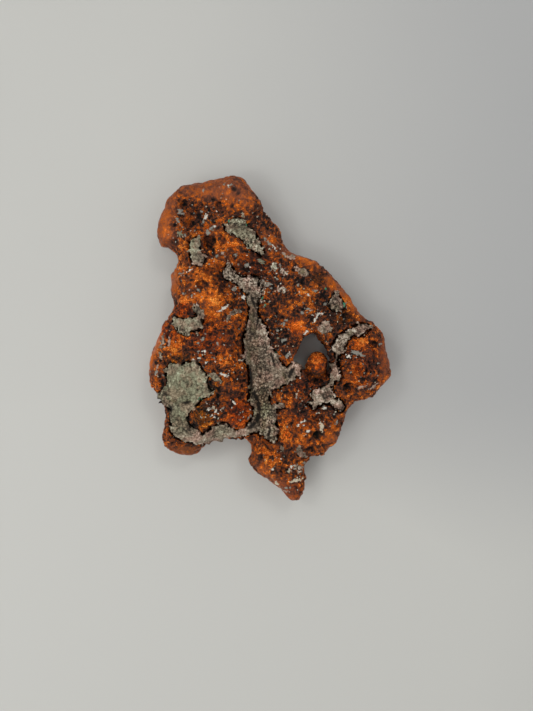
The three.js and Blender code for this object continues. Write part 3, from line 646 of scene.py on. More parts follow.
SHEETS = [
    Sheet("shoulder patch", (
        (16.2, 11.9), (16.9, 12.3), (17.8, 11.9), (18.2, 10.7), (18.8, 9.9), (18.7, 9.0), (19.5, 8.4),
        (19.2, 7.3), (18.4, 7.9), (17.5, 7.9), (16.9, 7.0), (15.8, 6.7), (15.6, 7.3), (16.2, 7.9),
        (15.4, 8.2), (15.1, 9.6), (16.4, 10.6),
    )),
    Sheet("hole patch", (
        (12.0, 2.9), (13.1, 3.5), (13.4, 4.4), (14.6, 4.7), (15.5, 3.8), (16.2, 2.6), (16.0, 1.8),
        (14.9, 1.6), (14.3, 0.9), (13.1, 1.3), (12.3, 2.0),
    )),
    Sheet("hole foot", (
        (14.1, -1.4), (14.6, -0.8), (15.8, -2.0), (16.2, -3.4), (15.2, -2.6),
    )),
    Sheet("inner edge patch", (
        (6.2, 18.6), (7.1, 18.6), (7.4, 18.0), (8.8, 18.1), (9.7, 17.1), (10.1, 16.5), (9.1, 16.1),
        (7.9, 16.0), (7.3, 16.8), (6.4, 17.6),
    )),
    Sheet("outer edge patch", (
        (2.6, 22.9), (3.3, 22.6), (4.2, 21.8), (5.0, 21.3), (5.6, 22.2), (6.8, 21.6), (6.2, 20.6),
        (5.0, 20.6), (3.9, 21.2), (3.0, 21.9),
    )),
    Sheet("left star", (
        (-0.3, 17.8), (0.4, 18.6), (0.3, 19.4), (1.1, 19.7), (1.7, 19.4), (1.4, 18.3), (2.0, 18.0),
        (1.3, 17.6), (0.6, 17.7), (0.1, 17.3),
    ), 0.2),
    Sheet("right star", (
        (2.4, 18.6), (2.9, 17.8), (3.3, 18.1), (3.6, 17.4), (4.5, 17.1), (4.5, 16.4), (3.7, 16.5),
        (3.3, 15.8), (3.0, 16.5), (2.6, 16.8),
    ), 0.2),
    Sheet("lower star", (
        (1.9, 13.6), (2.4, 13.1), (3.3, 13.2), (4.0, 12.8), (3.9, 11.9), (3.4, 11.6), (2.9, 12.3),
        (2.0, 12.0), (1.7, 12.8),
    ), 0.2),
    Sheet("crown spur", (
        (-7.8, 30.9), (-7.4, 33.1), (-6.9, 32.2), (-6.7, 30.4),
    ), 0.2),
    Sheet("crown horn", (
        (-10.0, 30.6), (-9.8, 32.0), (-9.0, 31.6), (-8.4, 30.4),
    ), 0.2),
    Sheet("foot patch", (
        (7.6, -27.6), (6.6, -28.8), (6.4, -29.8), (7.4, -30.6), (8.2, -31.6), (9.9, -31.9),
        (9.4, -30.6), (8.4, -29.4),
    )),
    Sheet("tip dot", (
        (2.4, -28.2), (3.2, -28.4), (3.8, -29.0), (3.3, -29.7), (2.5, -29.2),
    )),
    Sheet("tip patch", (
        (6.0, -33.6), (7.0, -33.0), (7.8, -33.6), (8.8, -34.2), (8.4, -35.4), (7.4, -35.6),
        (6.6, -34.8), (5.6, -34.6),
    ), 0.18),
    Sheet("tip edge strip", (
        (-5.9, -28.4), (-5.1, -28.6), (-4.9, -30.4), (-5.7, -31.4), (-6.2, -30.0),
    )),
    Sheet("middle strip", (
        (-12.1, 4.4), (-10.6, 6.6), (-9.6, 7.6), (-8.4, 7.6), (-7.3, 6.9), (-8.6, 6.4), (-10.2, 5.6),
        (-11.2, 4.2),
    )),
    Sheet("lower strip", (
        (-15.8, -9.2), (-14.6, -8.9), (-13.2, -10.2), (-12.4, -11.2), (-13.0, -11.8), (-14.4, -11.2),
        (-15.4, -10.2),
    )),
    Sheet("left rim strip", (
        (-28.6, 1.2), (-27.9, 0.6), (-27.8, -1.4), (-28.6, -3.0), (-29.3, -2.4), (-28.7, -0.8),
    )),
    Sheet("left rim shard", (
        (-29.2, -3.6), (-28.2, -4.0), (-28.6, -5.8), (-29.2, -5.2),
    )),
    Sheet("ring foot", (
        (-19.8, 8.8), (-18.6, 8.4), (-17.8, 6.6), (-18.8, 6.0), (-19.6, 7.2),
    )),
    Sheet("ring thread", (
        (-26.0, 6.2), (-25.2, 6.0), (-24.4, 4.8), (-25.0, 4.4),
    )),
    Sheet("light branch", (
        (0.0, -17.8), (1.0, -17.4), (2.0, -16.4), (3.4, -16.8), (4.2, -17.8), (3.0, -18.2),
        (1.6, -18.2), (1.2, -19.2), (0.2, -19.0),
    )),
    Sheet("seam crystals", (
        (-5.2, 16.4), (-4.2, 16.4), (-3.0, 16.6), (-1.8, 14.9), (0.0, 14.4), (-1.6, 13.2), (-1.4, 11.6),
        (-2.4, 10.8), (-2.0, 9.6), (-3.2, 9.4), (-3.8, 12.4),
    ), 0.2),
]


def depth_inside(x: float, y: float, outline: np.ndarray) -> float:
    """How far inside a closed outline a point is.

    Args:
        x: The point.
        y: The point.
        outline: The outline's corners.

    Returns:
        The distance to the outline, negative outside it.
    """
    side = np.roll(outline, -1, axis=0) - outline
    to = np.array((x, y)) - outline
    along = np.clip((to * side).sum(1) / (side * side).sum(1), 0, 1)
    nearest = np.hypot(*(to - side * along[:, None]).T).min()
    rises = (outline[:, 1] > y) != (outline[:, 1] + side[:, 1] > y)
    with np.errstate(divide="ignore", invalid="ignore"):
        crossing = outline[:, 0] + side[:, 0] * (y - outline[:, 1]) / side[:, 1]
    inside = bool(np.count_nonzero(rises & (x < crossing)) % 2)
    return nearest if inside else -nearest


def cad_copy(node: str) -> bmesh.types.BMesh:
    """Copies a CAD node's mesh.

    Args:
        node: The node's name.

    Returns:
        The copy, with its doubled points merged.
    """
    copy = bmesh.new()
    copy.from_mesh(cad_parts[node].data)
    bmesh.ops.remove_doubles(copy, verts=copy.verts, dist=1e-6)
    return copy


def placed(name: str, data: bpy.types.ID) -> bpy.types.Object:
    """Puts a mesh, light or camera into the scene.

    Args:
        name: The name of its object.
        data: The mesh, light or camera.

    Returns:
        The object.
    """
    item = bpy.data.objects.new(name, data)
    bpy.context.scene.collection.objects.link(item)
    return item


def at_points(mesh: bpy.types.Mesh, what: str) -> np.ndarray:
    """Reads three numbers at each point of a mesh.

    Args:
        mesh: The mesh.
        what: "co" for the places in metres, or "normal" for the directions out of the surface.

    Returns:
        One row for each point.
    """
    flat = np.empty(len(mesh.vertices) * 3, np.float32)
    mesh.vertices.foreach_get(what, flat)
    return flat.reshape(-1, 3).astype(float)


def paint(mesh: bpy.types.Mesh, values: dict[str, np.ndarray]) -> None:
    """Stores numbers at the points of a mesh for the materials to read.

    Args:
        mesh: The mesh.
        values: One number for each point, by the attribute's name.
    """
    for name, numbers in values.items():
        layer = mesh.attributes.new(name, "FLOAT", "POINT")
        layer.data.foreach_set("value", numbers.astype(np.float32))


def dress(piece: bpy.types.Object, material: bpy.types.Material) -> None:
    """Gives a finished piece its material, smooth shading and body.

    Args:
        piece: The piece.
        material: The material.
    """
    mesh = piece.data
    mesh.materials.clear()
    mesh.materials.append(material)
    mesh.polygons.foreach_set("use_smooth", np.ones(len(mesh.polygons), bool))
    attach(piece, "root")


@dataclass
class Skin:
    """An even, fine mesh grown from a CAD node, moved and painted point by point.

    Args:
        node: The CAD node that it is copied from.
        name: The name of the piece.
        voxel: The distance between its points in millimetres.
        rounds: How often the points are evened out, which melts away the flat faces of the CAD node.
        margin: How far its points stay inside the CAD model's box, in millimetres.
    """

    node: str
    name: str
    voxel: float
    rounds: int
    margin: float = 0.02
    shape: bpy.types.Object = field(init=False)

    def __post_init__(self) -> None:
        """Grows the mesh."""
        source = cad_copy(self.node)
        mesh = bpy.data.meshes.new(self.name + "_rough")
        source.to_mesh(mesh)
        source.free()
        rough = placed(self.name + "_rough", mesh)
        remesh = rough.modifiers.new("even", "REMESH")
        remesh.mode = "VOXEL"
        remesh.voxel_size = self.voxel * MM
        melt = rough.modifiers.new("melt", "SMOOTH")
        melt.factor = 0.5
        melt.iterations = self.rounds
        grown = bpy.data.meshes.new_from_object(rough.evaluated_get(bpy.context.evaluated_depsgraph_get()))
        bpy.data.objects.remove(rough)
        grown.name = self.name
        self.shape = placed(self.name, grown)

    def points(self) -> np.ndarray:
        """The points in millimetres, one row each."""
        return at_points(self.shape.data, "co") / MM

    def normals(self) -> np.ndarray:
        """The direction out of the surface at each point."""
        return at_points(self.shape.data, "normal")

    def move_to(self, points: np.ndarray) -> None:
        """Puts the points elsewhere, but never outside the CAD model's box.

        Args:
            points: The new places in millimetres.
        """
        low, high = (np.array(corner) / MM for corner in CAD_BOX)
        kept = np.clip(points, low + self.margin, high - self.margin)
        self.shape.data.vertices.foreach_set("co", (kept * MM).astype(np.float32).ravel())
        self.shape.data.update()

    def dress(self, material: bpy.types.Material, slot: str) -> None:
        """Gives the finished skin its material, and lets it stand for its CAD node.

        Args:
            material: The material.
        """
        dress(self.shape, material)
        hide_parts(self.node)


def sampled(points: np.ndarray, size: float, seed: float, octaves: int = 1) -> np.ndarray:
    """Soft noise at each point.

    Args:
        points: Points in millimetres.
        size: The distance between its swells in millimetres.
        seed: Which part of the noise is taken.
        octaves: How many layers it has, each finer than the last.

    Returns:
        A number from about -1 to 1 for each point.
    """
    at = points / size + seed
    if octaves == 1:
        return np.array([noise.noise(Vector(p)) for p in at])
    return np.array([noise.fractal(Vector(p), 0.9, 2.1, octaves) for p in at])


def cells(points: np.ndarray, size: float, seed: float) -> np.ndarray:
    """Domed cells, like the nodules of slag.

    Args:
        points: Points in millimetres.
        size: The width of a cell in millimetres.
        seed: Which part of the pattern is taken.

    Returns:
        For each point 0 in the creases and up to 1 on top of a dome.
    """
    gaps = []
    for p in points / size + seed:
        near, _ = noise.voronoi(Vector(p))
        gaps.append(near[1] - near[0])
    return np.sqrt(np.clip(np.array(gaps) * 1.6, 0, 1))


@dataclass
class CopperMass:
    """The one mass of native copper.

    Args:
        voxel: The distance between its points.
        rounds: How often its points are evened out.
        trim: What is taken off the rim, so that it lies on the outline in spite of its lumps.
        lump: The height and width of the rounded lumps.
        pitting: The depth and width of the ragged pits.
        grit: The height and width of the grit.
        rise: How far a bright place stands up.
        sink: How far a dark place lies down.
        crust: How far from the rock's outline the metal is darkened by black crust and painted shade.
        foot: The height below which the relief fades, so that the nugget lies flat.
    """

    voxel: float = 0.405
    rounds: int = 7
    trim: float = 0.33
    lump: tuple[float, float] = (0.5, 3.2)
    pitting: tuple[float, float] = (0.6, 1.15)
    grit: tuple[float, float] = (0.26, 1.0)
    rise: float = 0.25
    sink: float = 0.35
    crust: float = 0.9
    foot: float = 0.8

    def build(self, finish: CopperFinish, rims: KDTree) -> Skin:
        """Grows, roughens and paints the copper.

        Args:
            finish: The metal's finish.
            rims: Points on the outlines of the rock, seen from above.

        Returns:
            The finished skin.
        """
        skin = Skin("copper_nugget", "copper_mass", self.voxel, self.rounds)
        at = skin.points()
        out = skin.normals()
        sideways = out * np.array((1.0, 1.0, 0.0))
        at = at - sideways * self.trim + sum(push.shift(at) for push in PUSHES)
        tones = self.tones(at, out)
        rough = self.roughness(at, tones)
        warp = np.stack([sampled(at, size=2.4, seed=seed) for seed in (3.1, 17.7, 31.3)], axis=1)
        lumps = cells(at + warp * 0.8, size=self.lump[1], seed=5.5)
        ragged = sampled(at + warp * 0.3, size=self.pitting[1], seed=51.0, octaves=2)
        eaten = np.clip((ragged - 0.05) / 0.3, 0, 1)
        grit = sampled(at, size=self.grit[1], seed=23.0, octaves=2)
        height = self.lump[0] * (lumps - 0.7) + rough * (self.grit[0] * grit - self.pitting[0] * eaten)
        height += self.rise * tones[Tone.BRIGHT] - self.sink * tones[Tone.DARK]
        resting = np.clip(at[:, 2] / self.foot, 0, 1)
        skin.move_to(at + out * (height * resting)[:, None])
        # Darkens the metal next to the rock with black crust and painted shade along the seam.
        tones[Tone.DARK] = np.maximum(tones[Tone.DARK], self.crust_and_seam_shade(at, rims))
        creases = eaten * (0.25 + 0.75 * rough) + 0.5 * np.clip(0.45 - lumps, 0, 1)
        shown = (Tone.BRIGHT, Tone.DARK, Tone.RED, Tone.OLIVE)
        paint(skin.shape.data, {"crease": np.clip(creases, 0, 1), "rough": rough})
        paint(skin.shape.data, {tone.value: tones[tone] for tone in shown})
        skin.dress(finish.material(), "copper")
        return skin

    def tones(self, at: np.ndarray, out: np.ndarray) -> dict[Tone, np.ndarray]:
        """How much of each tone a point has: named places above, and a loose scatter on the sides and below.

        Args:
            at: The points.
            out: The directions out of the surface.

        Returns:
            A number for each point, by tone.
        """
        above = np.clip((out[:, 2] + 0.35) / 0.5, 0, 1) * np.clip((at[:, 2] - 2.5) / 2.0, 0, 1)
        found = {}
        for index, tone in enumerate(Tone):
            named = covered(at, SPOTS[tone])
            loose = np.clip(sampled(at, size=4.2, seed=40.0 + 9 * index, octaves=2) * 1.9 - 0.25, 0, 1)
            found[tone] = named * above + loose * (1 - above)
        return found

    def roughness(self, at: np.ndarray, tones: dict[Tone, np.ndarray]) -> np.ndarray:
        """How craggy each point is: smooth at the named rims, craggy elsewhere.

        Args:
            at: The points.
            tones: The tones of the points.

        Returns:
            A number from 0.12 to 1 for each point.
        """
        broad = 0.9 + 0.3 * sampled(at, size=6.0, seed=77.0)
        return np.clip(broad - 0.85 * tones[Tone.SMOOTH], 0.12, 1.0)

    def crust_and_seam_shade(self, at: np.ndarray, rims: KDTree) -> np.ndarray:
        """How much black crust and painted shade each point has from lying next to the rock.

        Args:
            at: The points.
            rims: Points on the outlines of the rock, seen from above.

        Returns:
            A number from 0 to 0.9 for each point.
        """
        near = np.array([rims.find(Vector((p[0], p[1], 0.0)))[2] for p in at])
        patchy = np.clip(2.4 * sampled(at, size=2.2, seed=29.0), 0, 0.9)
        return np.exp(-((near / self.crust) ** 2)) * patchy * np.clip(at[:, 2] / 4.0 - 0.8, 0, 1)


@dataclass
class RockFilling:
    """A remnant of host rock in a hollow of the copper.

    Args:
        node: The CAD node that it stands for.
        slot: The record's material slot, which is not used.
        spread: How far its ragged edge grows over the gap round it.
        proud: How far its top is raised.
        overlap: How far its crust laps over the copper on the whole.
        voxel: The distance between its points.
        rounds: How often its points are evened out.
    """

    node: str
    slot: str
    spread: float = 0.1
    proud: float = 0.45
    overlap: float = 0.35
    voxel: float = 0.25
    rounds: int = 3

    def build(self, finish: RockFinish) -> Skin:
        """Grows and roughens the rock.

        Args:
            finish: The rock's finish.

        Returns:
            The finished skin.
        """
        skin = Skin(self.node, self.node.replace("rock", "stone"), self.voxel, self.rounds)
        at = skin.points()
        out = skin.normals()
        upper = np.clip((at[:, 2] - at[:, 2].min() - 0.6) / 1.2, 0, 1)
        ragged = self.spread + 0.5 * sampled(at, size=1.5, seed=61.0)
        top = np.clip(out[:, 2] * 1.6 - 0.3, 0, 1)
        grains = sampled(at, size=0.6, seed=83.0, octaves=2)
        swell = sampled(at, size=3.2, seed=91.0, octaves=2)
        height = self.proud + 0.3 * swell + 0.12 * grains
        moved = at + out * np.array((1.0, 1.0, 0.0)) * (ragged * upper)[:, None]
        moved[:, 2] += height * top * upper
        moved += LEDGE_SWELL.shift(at)
        skin.move_to(moved)
        paint(skin.shape.data, rock_paint(moved, np.zeros(len(moved))))
        skin.dress(finish.material(), self.slot)
        return skin


def rock_paint(at: np.ndarray, edge: np.ndarray) -> dict[str, np.ndarray]:
    """What the rock's material reads at each point.

    Args:
        at: The points.
        edge: How near each is to an edge, from 0 to 1.

    Returns:
        A number for each point, by attribute.
    """
    painted = {hue.value: covered(at, places) for hue, places in ROCK_HUES.items()}
    painted["crease"] = np.clip(1.0 - cells(at, size=0.95, seed=71.0), 0, 1)
    painted["edge"] = edge
    return painted


def flat_tree(points: list[Vector]) -> KDTree:
    """Gathers points so that the nearest one, seen from above, can be found.

    Args:
        points: The points.

    Returns:
        A tree of the points, all at height 0.
    """
    tree = KDTree(len(points))
    for index, point in enumerate(points):
        tree.insert(Vector((point.x, point.y, 0)), index)
    tree.balance()
    return tree


@dataclass
class Footprint:
    """The ragged crust that covers a rock filling and laps over the copper round it.

    Args:
        filling: The filling, whose CAD node has upright walls.
        thick: How far the crust stands up.
        pace: The distance between the points of its outline.
        outmost: How far beyond the filling the crust may reach.
        upright: The most that a wall of the filling leans.
        level: The least that its top faces up.
    """

    filling: RockFilling
    thick: float = 0.16
    pace: float = 0.15
    outmost: float = 2.0
    upright: float = 0.25
    level: float = 0.5
    rim: list[Vector] = field(init=False)
    tree: KDTree = field(init=False)
    body: BVHTree = field(init=False)

    def __post_init__(self) -> None:
        """Finds the filling's outline, where its top meets its upright walls."""
        part = cad_copy(self.filling.node)
        part.normal_update()
        self.body = BVHTree.FromBMesh(part)
        self.rim = []
        for edge in part.edges:
            tilts = [face.normal.z for face in edge.link_faces]
            if min(abs(tilt) for tilt in tilts) < self.upright and max(tilts) > self.level:
                start, end = (vert.co / MM for vert in edge.verts)
                pieces = max(1, math.ceil((end - start).length / self.pace))
                self.rim += [start.lerp(end, step / pieces) for step in range(pieces)]
        self.tree = flat_tree(self.rim)
        part.free()

    def reach(self) -> tuple[float, float, float, float]:
        """The least and greatest x and y that it may cover."""
        xs = [point.x for point in self.rim]
        ys = [point.y for point in self.rim]
        room = 1.5
        return min(xs) - room, min(ys) - room, max(xs) + room, max(ys) + room

    def depth(self, x: float, y: float) -> float:
        """How far inside its ragged outline a point is.

        Args:
            x: The point.
            y: The point.

        Returns:
            The distance to its edge, negative outside it.
        """
        far = self.tree.find(Vector((x, y, 0)))[2]
        met, normal, _, _ = self.body.ray_cast(Vector((x * MM, y * MM, RAY_TOP)), DOWN)
        if far > self.outmost and met is None:
            return -far
        inside = normal is not None and normal.z > FACING_UP
        ragged = 1.5 * soft(x, y, size=1.3, layer=6.0) + 0.8 * soft(x, y, size=0.5, layer=4.0)
        return (far if inside else -far) + self.filling.overlap + ragged


Patch = Fleck | Sheet | Footprint


@dataclass
class Scatter:
    """The flecks and thin crusts of rock that sit on the copper.

    Args:
        grounds: The skins that they sit on.
        seed: The seed of the dust's places.
        fleck_step: The distance between the points of a fleck.
        fleck_thick: How far a fleck stands up.
        fleck_gap: Half the width of the widest gap in the copper that a fleck or small crust bridges.
        crust_step: The distance between the points of a crust.
        crust_gap: Half the width of the widest gap that the crust over a filling bridges.
        bevel: How far in from its edge a fleck or crust has its full height.
        uneven: How far its top rises and falls.
        border: How far in from its edge it is marked as an edge.
        rounds: How often it is evened out over what it lies on.
        sunk: How deep it reaches into what it lies on.
        lowest: The least height of a place where anything is set.
        share: How many of the clouds' grains are set.
        sizes: The least and greatest length of a dust grain.
        flat: Half the height of a dust grain.
    """

    grounds: list[Skin]
    seed: int = 7
    fleck_step: float = 0.14
    fleck_thick: float = 0.14
    fleck_gap: float = 0.4
    crust_step: float = 0.17
    crust_gap: float = 0.85
    bevel: float = 0.25
    uneven: float = 0.08
    border: float = 0.5
    rounds: int = 2
    sunk: float = 0.5
    lowest: float = 3.0
    share: float = 0.7
    sizes: tuple[float, float] = (0.25, 0.6)
    flat: float = 0.13
    tree: BVHTree = field(init=False)

    def __post_init__(self) -> None:
        """Makes the skins ready to be met by rays."""
        corners = []
        faces = []
        for skin in self.grounds:
            mesh = skin.shape.data
            before = len(corners)
            corners += [vert.co.copy() for vert in mesh.vertices]
            faces += [tuple(before + corner for corner in face.vertices) for face in mesh.polygons]
        self.tree = BVHTree.FromPolygons(corners, faces)

    def meet(self, x: float, y: float) -> tuple[Vector, Vector] | None:
        """Where a line from above meets the skins.

        Args:
            x: The place in millimetres.
            y: The place in millimetres.

        Returns:
            The point in metres and the direction out of the surface, or None beside the nugget.
        """
        point, normal, _, _ = self.tree.ray_cast(Vector((x * MM, y * MM, RAY_TOP)), DOWN)
        return None if point is None or point.z < self.lowest * MM else (point, normal)

    def build_flecks(self, finish: FleckFinish) -> bpy.types.Object:
        """Sets every fleck on the copper, named ones first, then the dust.

        Args:
            finish: The flecks' finish.

        Returns:
            The finished piece.
        """
        rng = random.Random(self.seed)
        whole = bmesh.new()
        for grain, places in FLECKS.items():
            for place in places:
                self.lay(whole, Fleck(grain, *place), self.fleck_step, self.fleck_thick, self.fleck_gap)
        kinds = (Grain.GREY, Grain.GREY, Grain.CREAM, Grain.WHITE)
        for cloud in DUST:
            for _ in range(round(self.share * cloud.count)):
                angle = rng.uniform(0, 2 * math.pi)
                far = cloud.reach * rng.random() ** 0.6
                size = rng.uniform(*self.sizes)
                x, y = cloud.x + far * math.cos(angle), cloud.y + far * math.sin(angle)
                kind = rng.choice(kinds)
                wide = size * rng.uniform(0.4, 0.8)
                self.set_grain(whole, Fleck(kind, x, y, size, wide, rng.uniform(0, 180)), rng)
        return self.finished(whole, "mineral_flecks", finish.material())

    def set_grain(self, whole: bmesh.types.BMesh, grain: Fleck, rng: random.Random) -> None:
        """Adds one small grain, half sunk in the copper.

        Args:
            whole: The mesh that it is added to.
            grain: The grain.
            rng: The source of its unevenness.
        """
        met = self.meet(grain.x, grain.y)
        if met is None:
            return
        point, normal = met
        up = (normal + Vector((0, 0, 0.6))).normalized()
        size = Vector((grain.long / 2, grain.wide / 2, self.flat)) * MM
        part = bmesh.new()
        bmesh.ops.create_icosphere(part, subdivisions=2, radius=1.0)
        offset = Vector((rng.uniform(0, 50), rng.uniform(0, 50), rng.uniform(0, 50)))
        for vert in part.verts:
            wild = 1.0 + 0.6 * noise.fractal(vert.co * 1.3 + offset, 0.7, 2.2, 3)
            vert.co = vert.co * wild * size
        spin = Matrix.Rotation(math.radians(grain.turn), 4, "Z")
        turn = up.to_track_quat("Z", "Y").to_matrix().to_4x4() @ spin
        bmesh.ops.transform(part, matrix=Matrix.Translation(point) @ turn, verts=part.verts)
        self.join(whole, part, grain.grain.value)

    def build_crusts(self, finish: RockFinish, footprints: list[Footprint]) -> bpy.types.Object:
        """Lays the thin crusts on the copper and over the edges of the rock fillings.

        Args:
            finish: The rock's finish.
            footprints: The crusts that cover the fillings.

        Returns:
            The finished piece.
        """
        whole = bmesh.new()
        for footprint in footprints:
            self.lay(whole, footprint, self.crust_step, footprint.thick, self.crust_gap)
        for sheet in SHEETS:
            self.lay(whole, sheet, self.crust_step, sheet.thick, self.fleck_gap)
        piece = self.finished(whole, "thin_crusts", finish.material())
        mesh = piece.data
        edge = np.empty(len(mesh.vertices), np.float32)
        mesh.attributes["edge"].data.foreach_get("value", edge)
        mesh.attributes.remove(mesh.attributes["edge"])
        paint(mesh, rock_paint(at_points(mesh, "co") / MM, edge.astype(float)))
        return piece

    def lay(self, whole: bmesh.types.BMesh, patch: Patch, step: float, thick: float, gap: float) -> None:
        """Adds one patch: a fine grid cut to its outline, let down on the copper and given a thickness.

        Args:
            whole: The mesh that it is added to.
            patch: The fleck or crust.
            step: The distance between the grid's points.
            thick: How far it stands out of the copper.
            gap: Half the width of the widest gap that it bridges.
        """
        left, low, right, high = patch.reach()
        xs = np.arange(left, right + step, step)
        ys = np.arange(low, high + step, step)
        depths = np.array([[patch.depth(x, y) for x in xs] for y in ys])
        ground = bridged(self.ground(xs, ys, depths > -2 * gap), round(gap / step))
        grid = bmesh.new()
        bmesh.ops.create_grid(grid, x_segments=len(xs) - 1, y_segments=len(ys) - 1, size=0.5)
        rim = grid.verts.layers.float.new("edge")
        outside = []
        rises = {}
        for vert in grid.verts:
            column = round((vert.co.x + 0.5) * (len(xs) - 1))
            row = round((vert.co.y + 0.5) * (len(ys) - 1))
            x, y, depth = xs[column], ys[row], depths[row, column]
            if depth < -step or ground[row, column] < 0:
                outside.append(vert)
                continue
            uneven = self.uneven * soft(x, y, size=0.5, layer=2.0)
            rises[vert] = (thick * min(1.0, max(-0.8, depth / self.bevel)) + uneven) * MM
            vert.co = Vector((x * MM, y * MM, ground[row, column]))
            vert[rim] = math.exp(-((depth / self.border) ** 2))
        bmesh.ops.delete(grid, geom=outside, context="VERTS")
        for _ in range(self.rounds):
            bmesh.ops.smooth_vert(grid, verts=grid.verts, factor=0.5, use_axis_z=True)
        for vert in grid.verts:
            vert.co.z += rises[vert]
        bmesh.ops.delete(grid, geom=[v for v in grid.verts if not v.link_faces], context="VERTS")
        if grid.faces:
            self.thicken(grid)
        self.join(whole, grid, patch.grain.value if isinstance(patch, Fleck) else 0.0)

    def ground(self, xs: np.ndarray, ys: np.ndarray, wanted: np.ndarray) -> np.ndarray:
        """The height of the skins under a grid.

        Args:
            xs: The grid's columns.
            ys: The grid's rows.
            wanted: Which of its points are looked at.

        Returns:
            The heights in metres, row by row, or -1 where nothing faces up.
        """
        heights = np.full(wanted.shape, -1.0)
        for row, column in np.argwhere(wanted):
            met = self.meet(xs[column], ys[row])
            if met is not None and met[1].z > FACING_UP:
                heights[row, column] = met[0].z
        return heights

    def thicken(self, grid: bmesh.types.BMesh) -> None:
        """Turns an open patch into a closed one that reaches down into what it lies on.

        Args:
            grid: The patch's mesh.
        """
        bmesh.ops.recalc_face_normals(grid, faces=grid.faces)
        if sum(face.normal.z for face in grid.faces) < 0:
            bmesh.ops.reverse_faces(grid, faces=grid.faces)
        under = bmesh.ops.extrude_face_region(grid, geom=grid.faces[:], use_keep_orig=True)["geom"]
        sunk = [corner for corner in under if isinstance(corner, bmesh.types.BMVert)]
        bmesh.ops.translate(grid, verts=sunk, vec=(0, 0, -self.sunk * MM))
        bmesh.ops.recalc_face_normals(grid, faces=grid.faces)

    def join(self, whole: bmesh.types.BMesh, part: bmesh.types.BMesh, grain: float) -> None:
        """Adds a part to the mesh under construction, marked with its mineral.

        Args:
            whole: The mesh that it is added to.
            part: The part, which is used up.
            grain: Its mineral's place on the colour scale.
        """
        scale = part.verts.layers.float.new("grain")
        for vert in part.verts:
            vert[scale] = grain
        mesh = bpy.data.meshes.new("part")
        part.to_mesh(mesh)
        part.free()
        whole.from_mesh(mesh)
        bpy.data.meshes.remove(mesh)

    def finished(self, whole: bmesh.types.BMesh, name: str, material: bpy.types.Material) -> bpy.types.Object:
        """Turns a mesh under construction into a piece.

        Args:
            whole: The mesh.
            name: The piece's name.
            material: Its material.

        Returns:
            The piece.
        """
        mesh = bpy.data.meshes.new(name)
        whole.to_mesh(mesh)
        whole.free()
        piece = placed(name, mesh)
        dress(piece, material)
        return piece


def bridged(heights: np.ndarray, rounds: int) -> np.ndarray:
    """Bridges the narrow gaps in a grid of heights.

    Args:
        heights: The heights, row by row.
        rounds: Half the width of the widest gap that is bridged, in steps of the grid.

    Returns:
        The bridged heights.
    """
    for pick in [np.maximum] * rounds + [np.minimum] * rounds:
        found = heights
        for shift in ((1, 0), (-1, 0), (0, 1), (0, -1)):
            found = pick(found, np.roll(heights, shift, (0, 1)))
        heights = found
    return heights


def linear(shade: float) -> float:
    """One channel of a screen colour, from 0 to 255, as its linear value."""
    share = shade / 255
    return share / 12.92 if share <= 0.04045 else ((share + 0.055) / 1.055) ** 2.4


def colour(red: int, green: int, blue: int) -> tuple[float, float, float, float]:
    """A colour as seen on a screen, from 0 to 255, as the linear values that a socket takes."""
    return linear(red), linear(green), linear(blue), 1.0


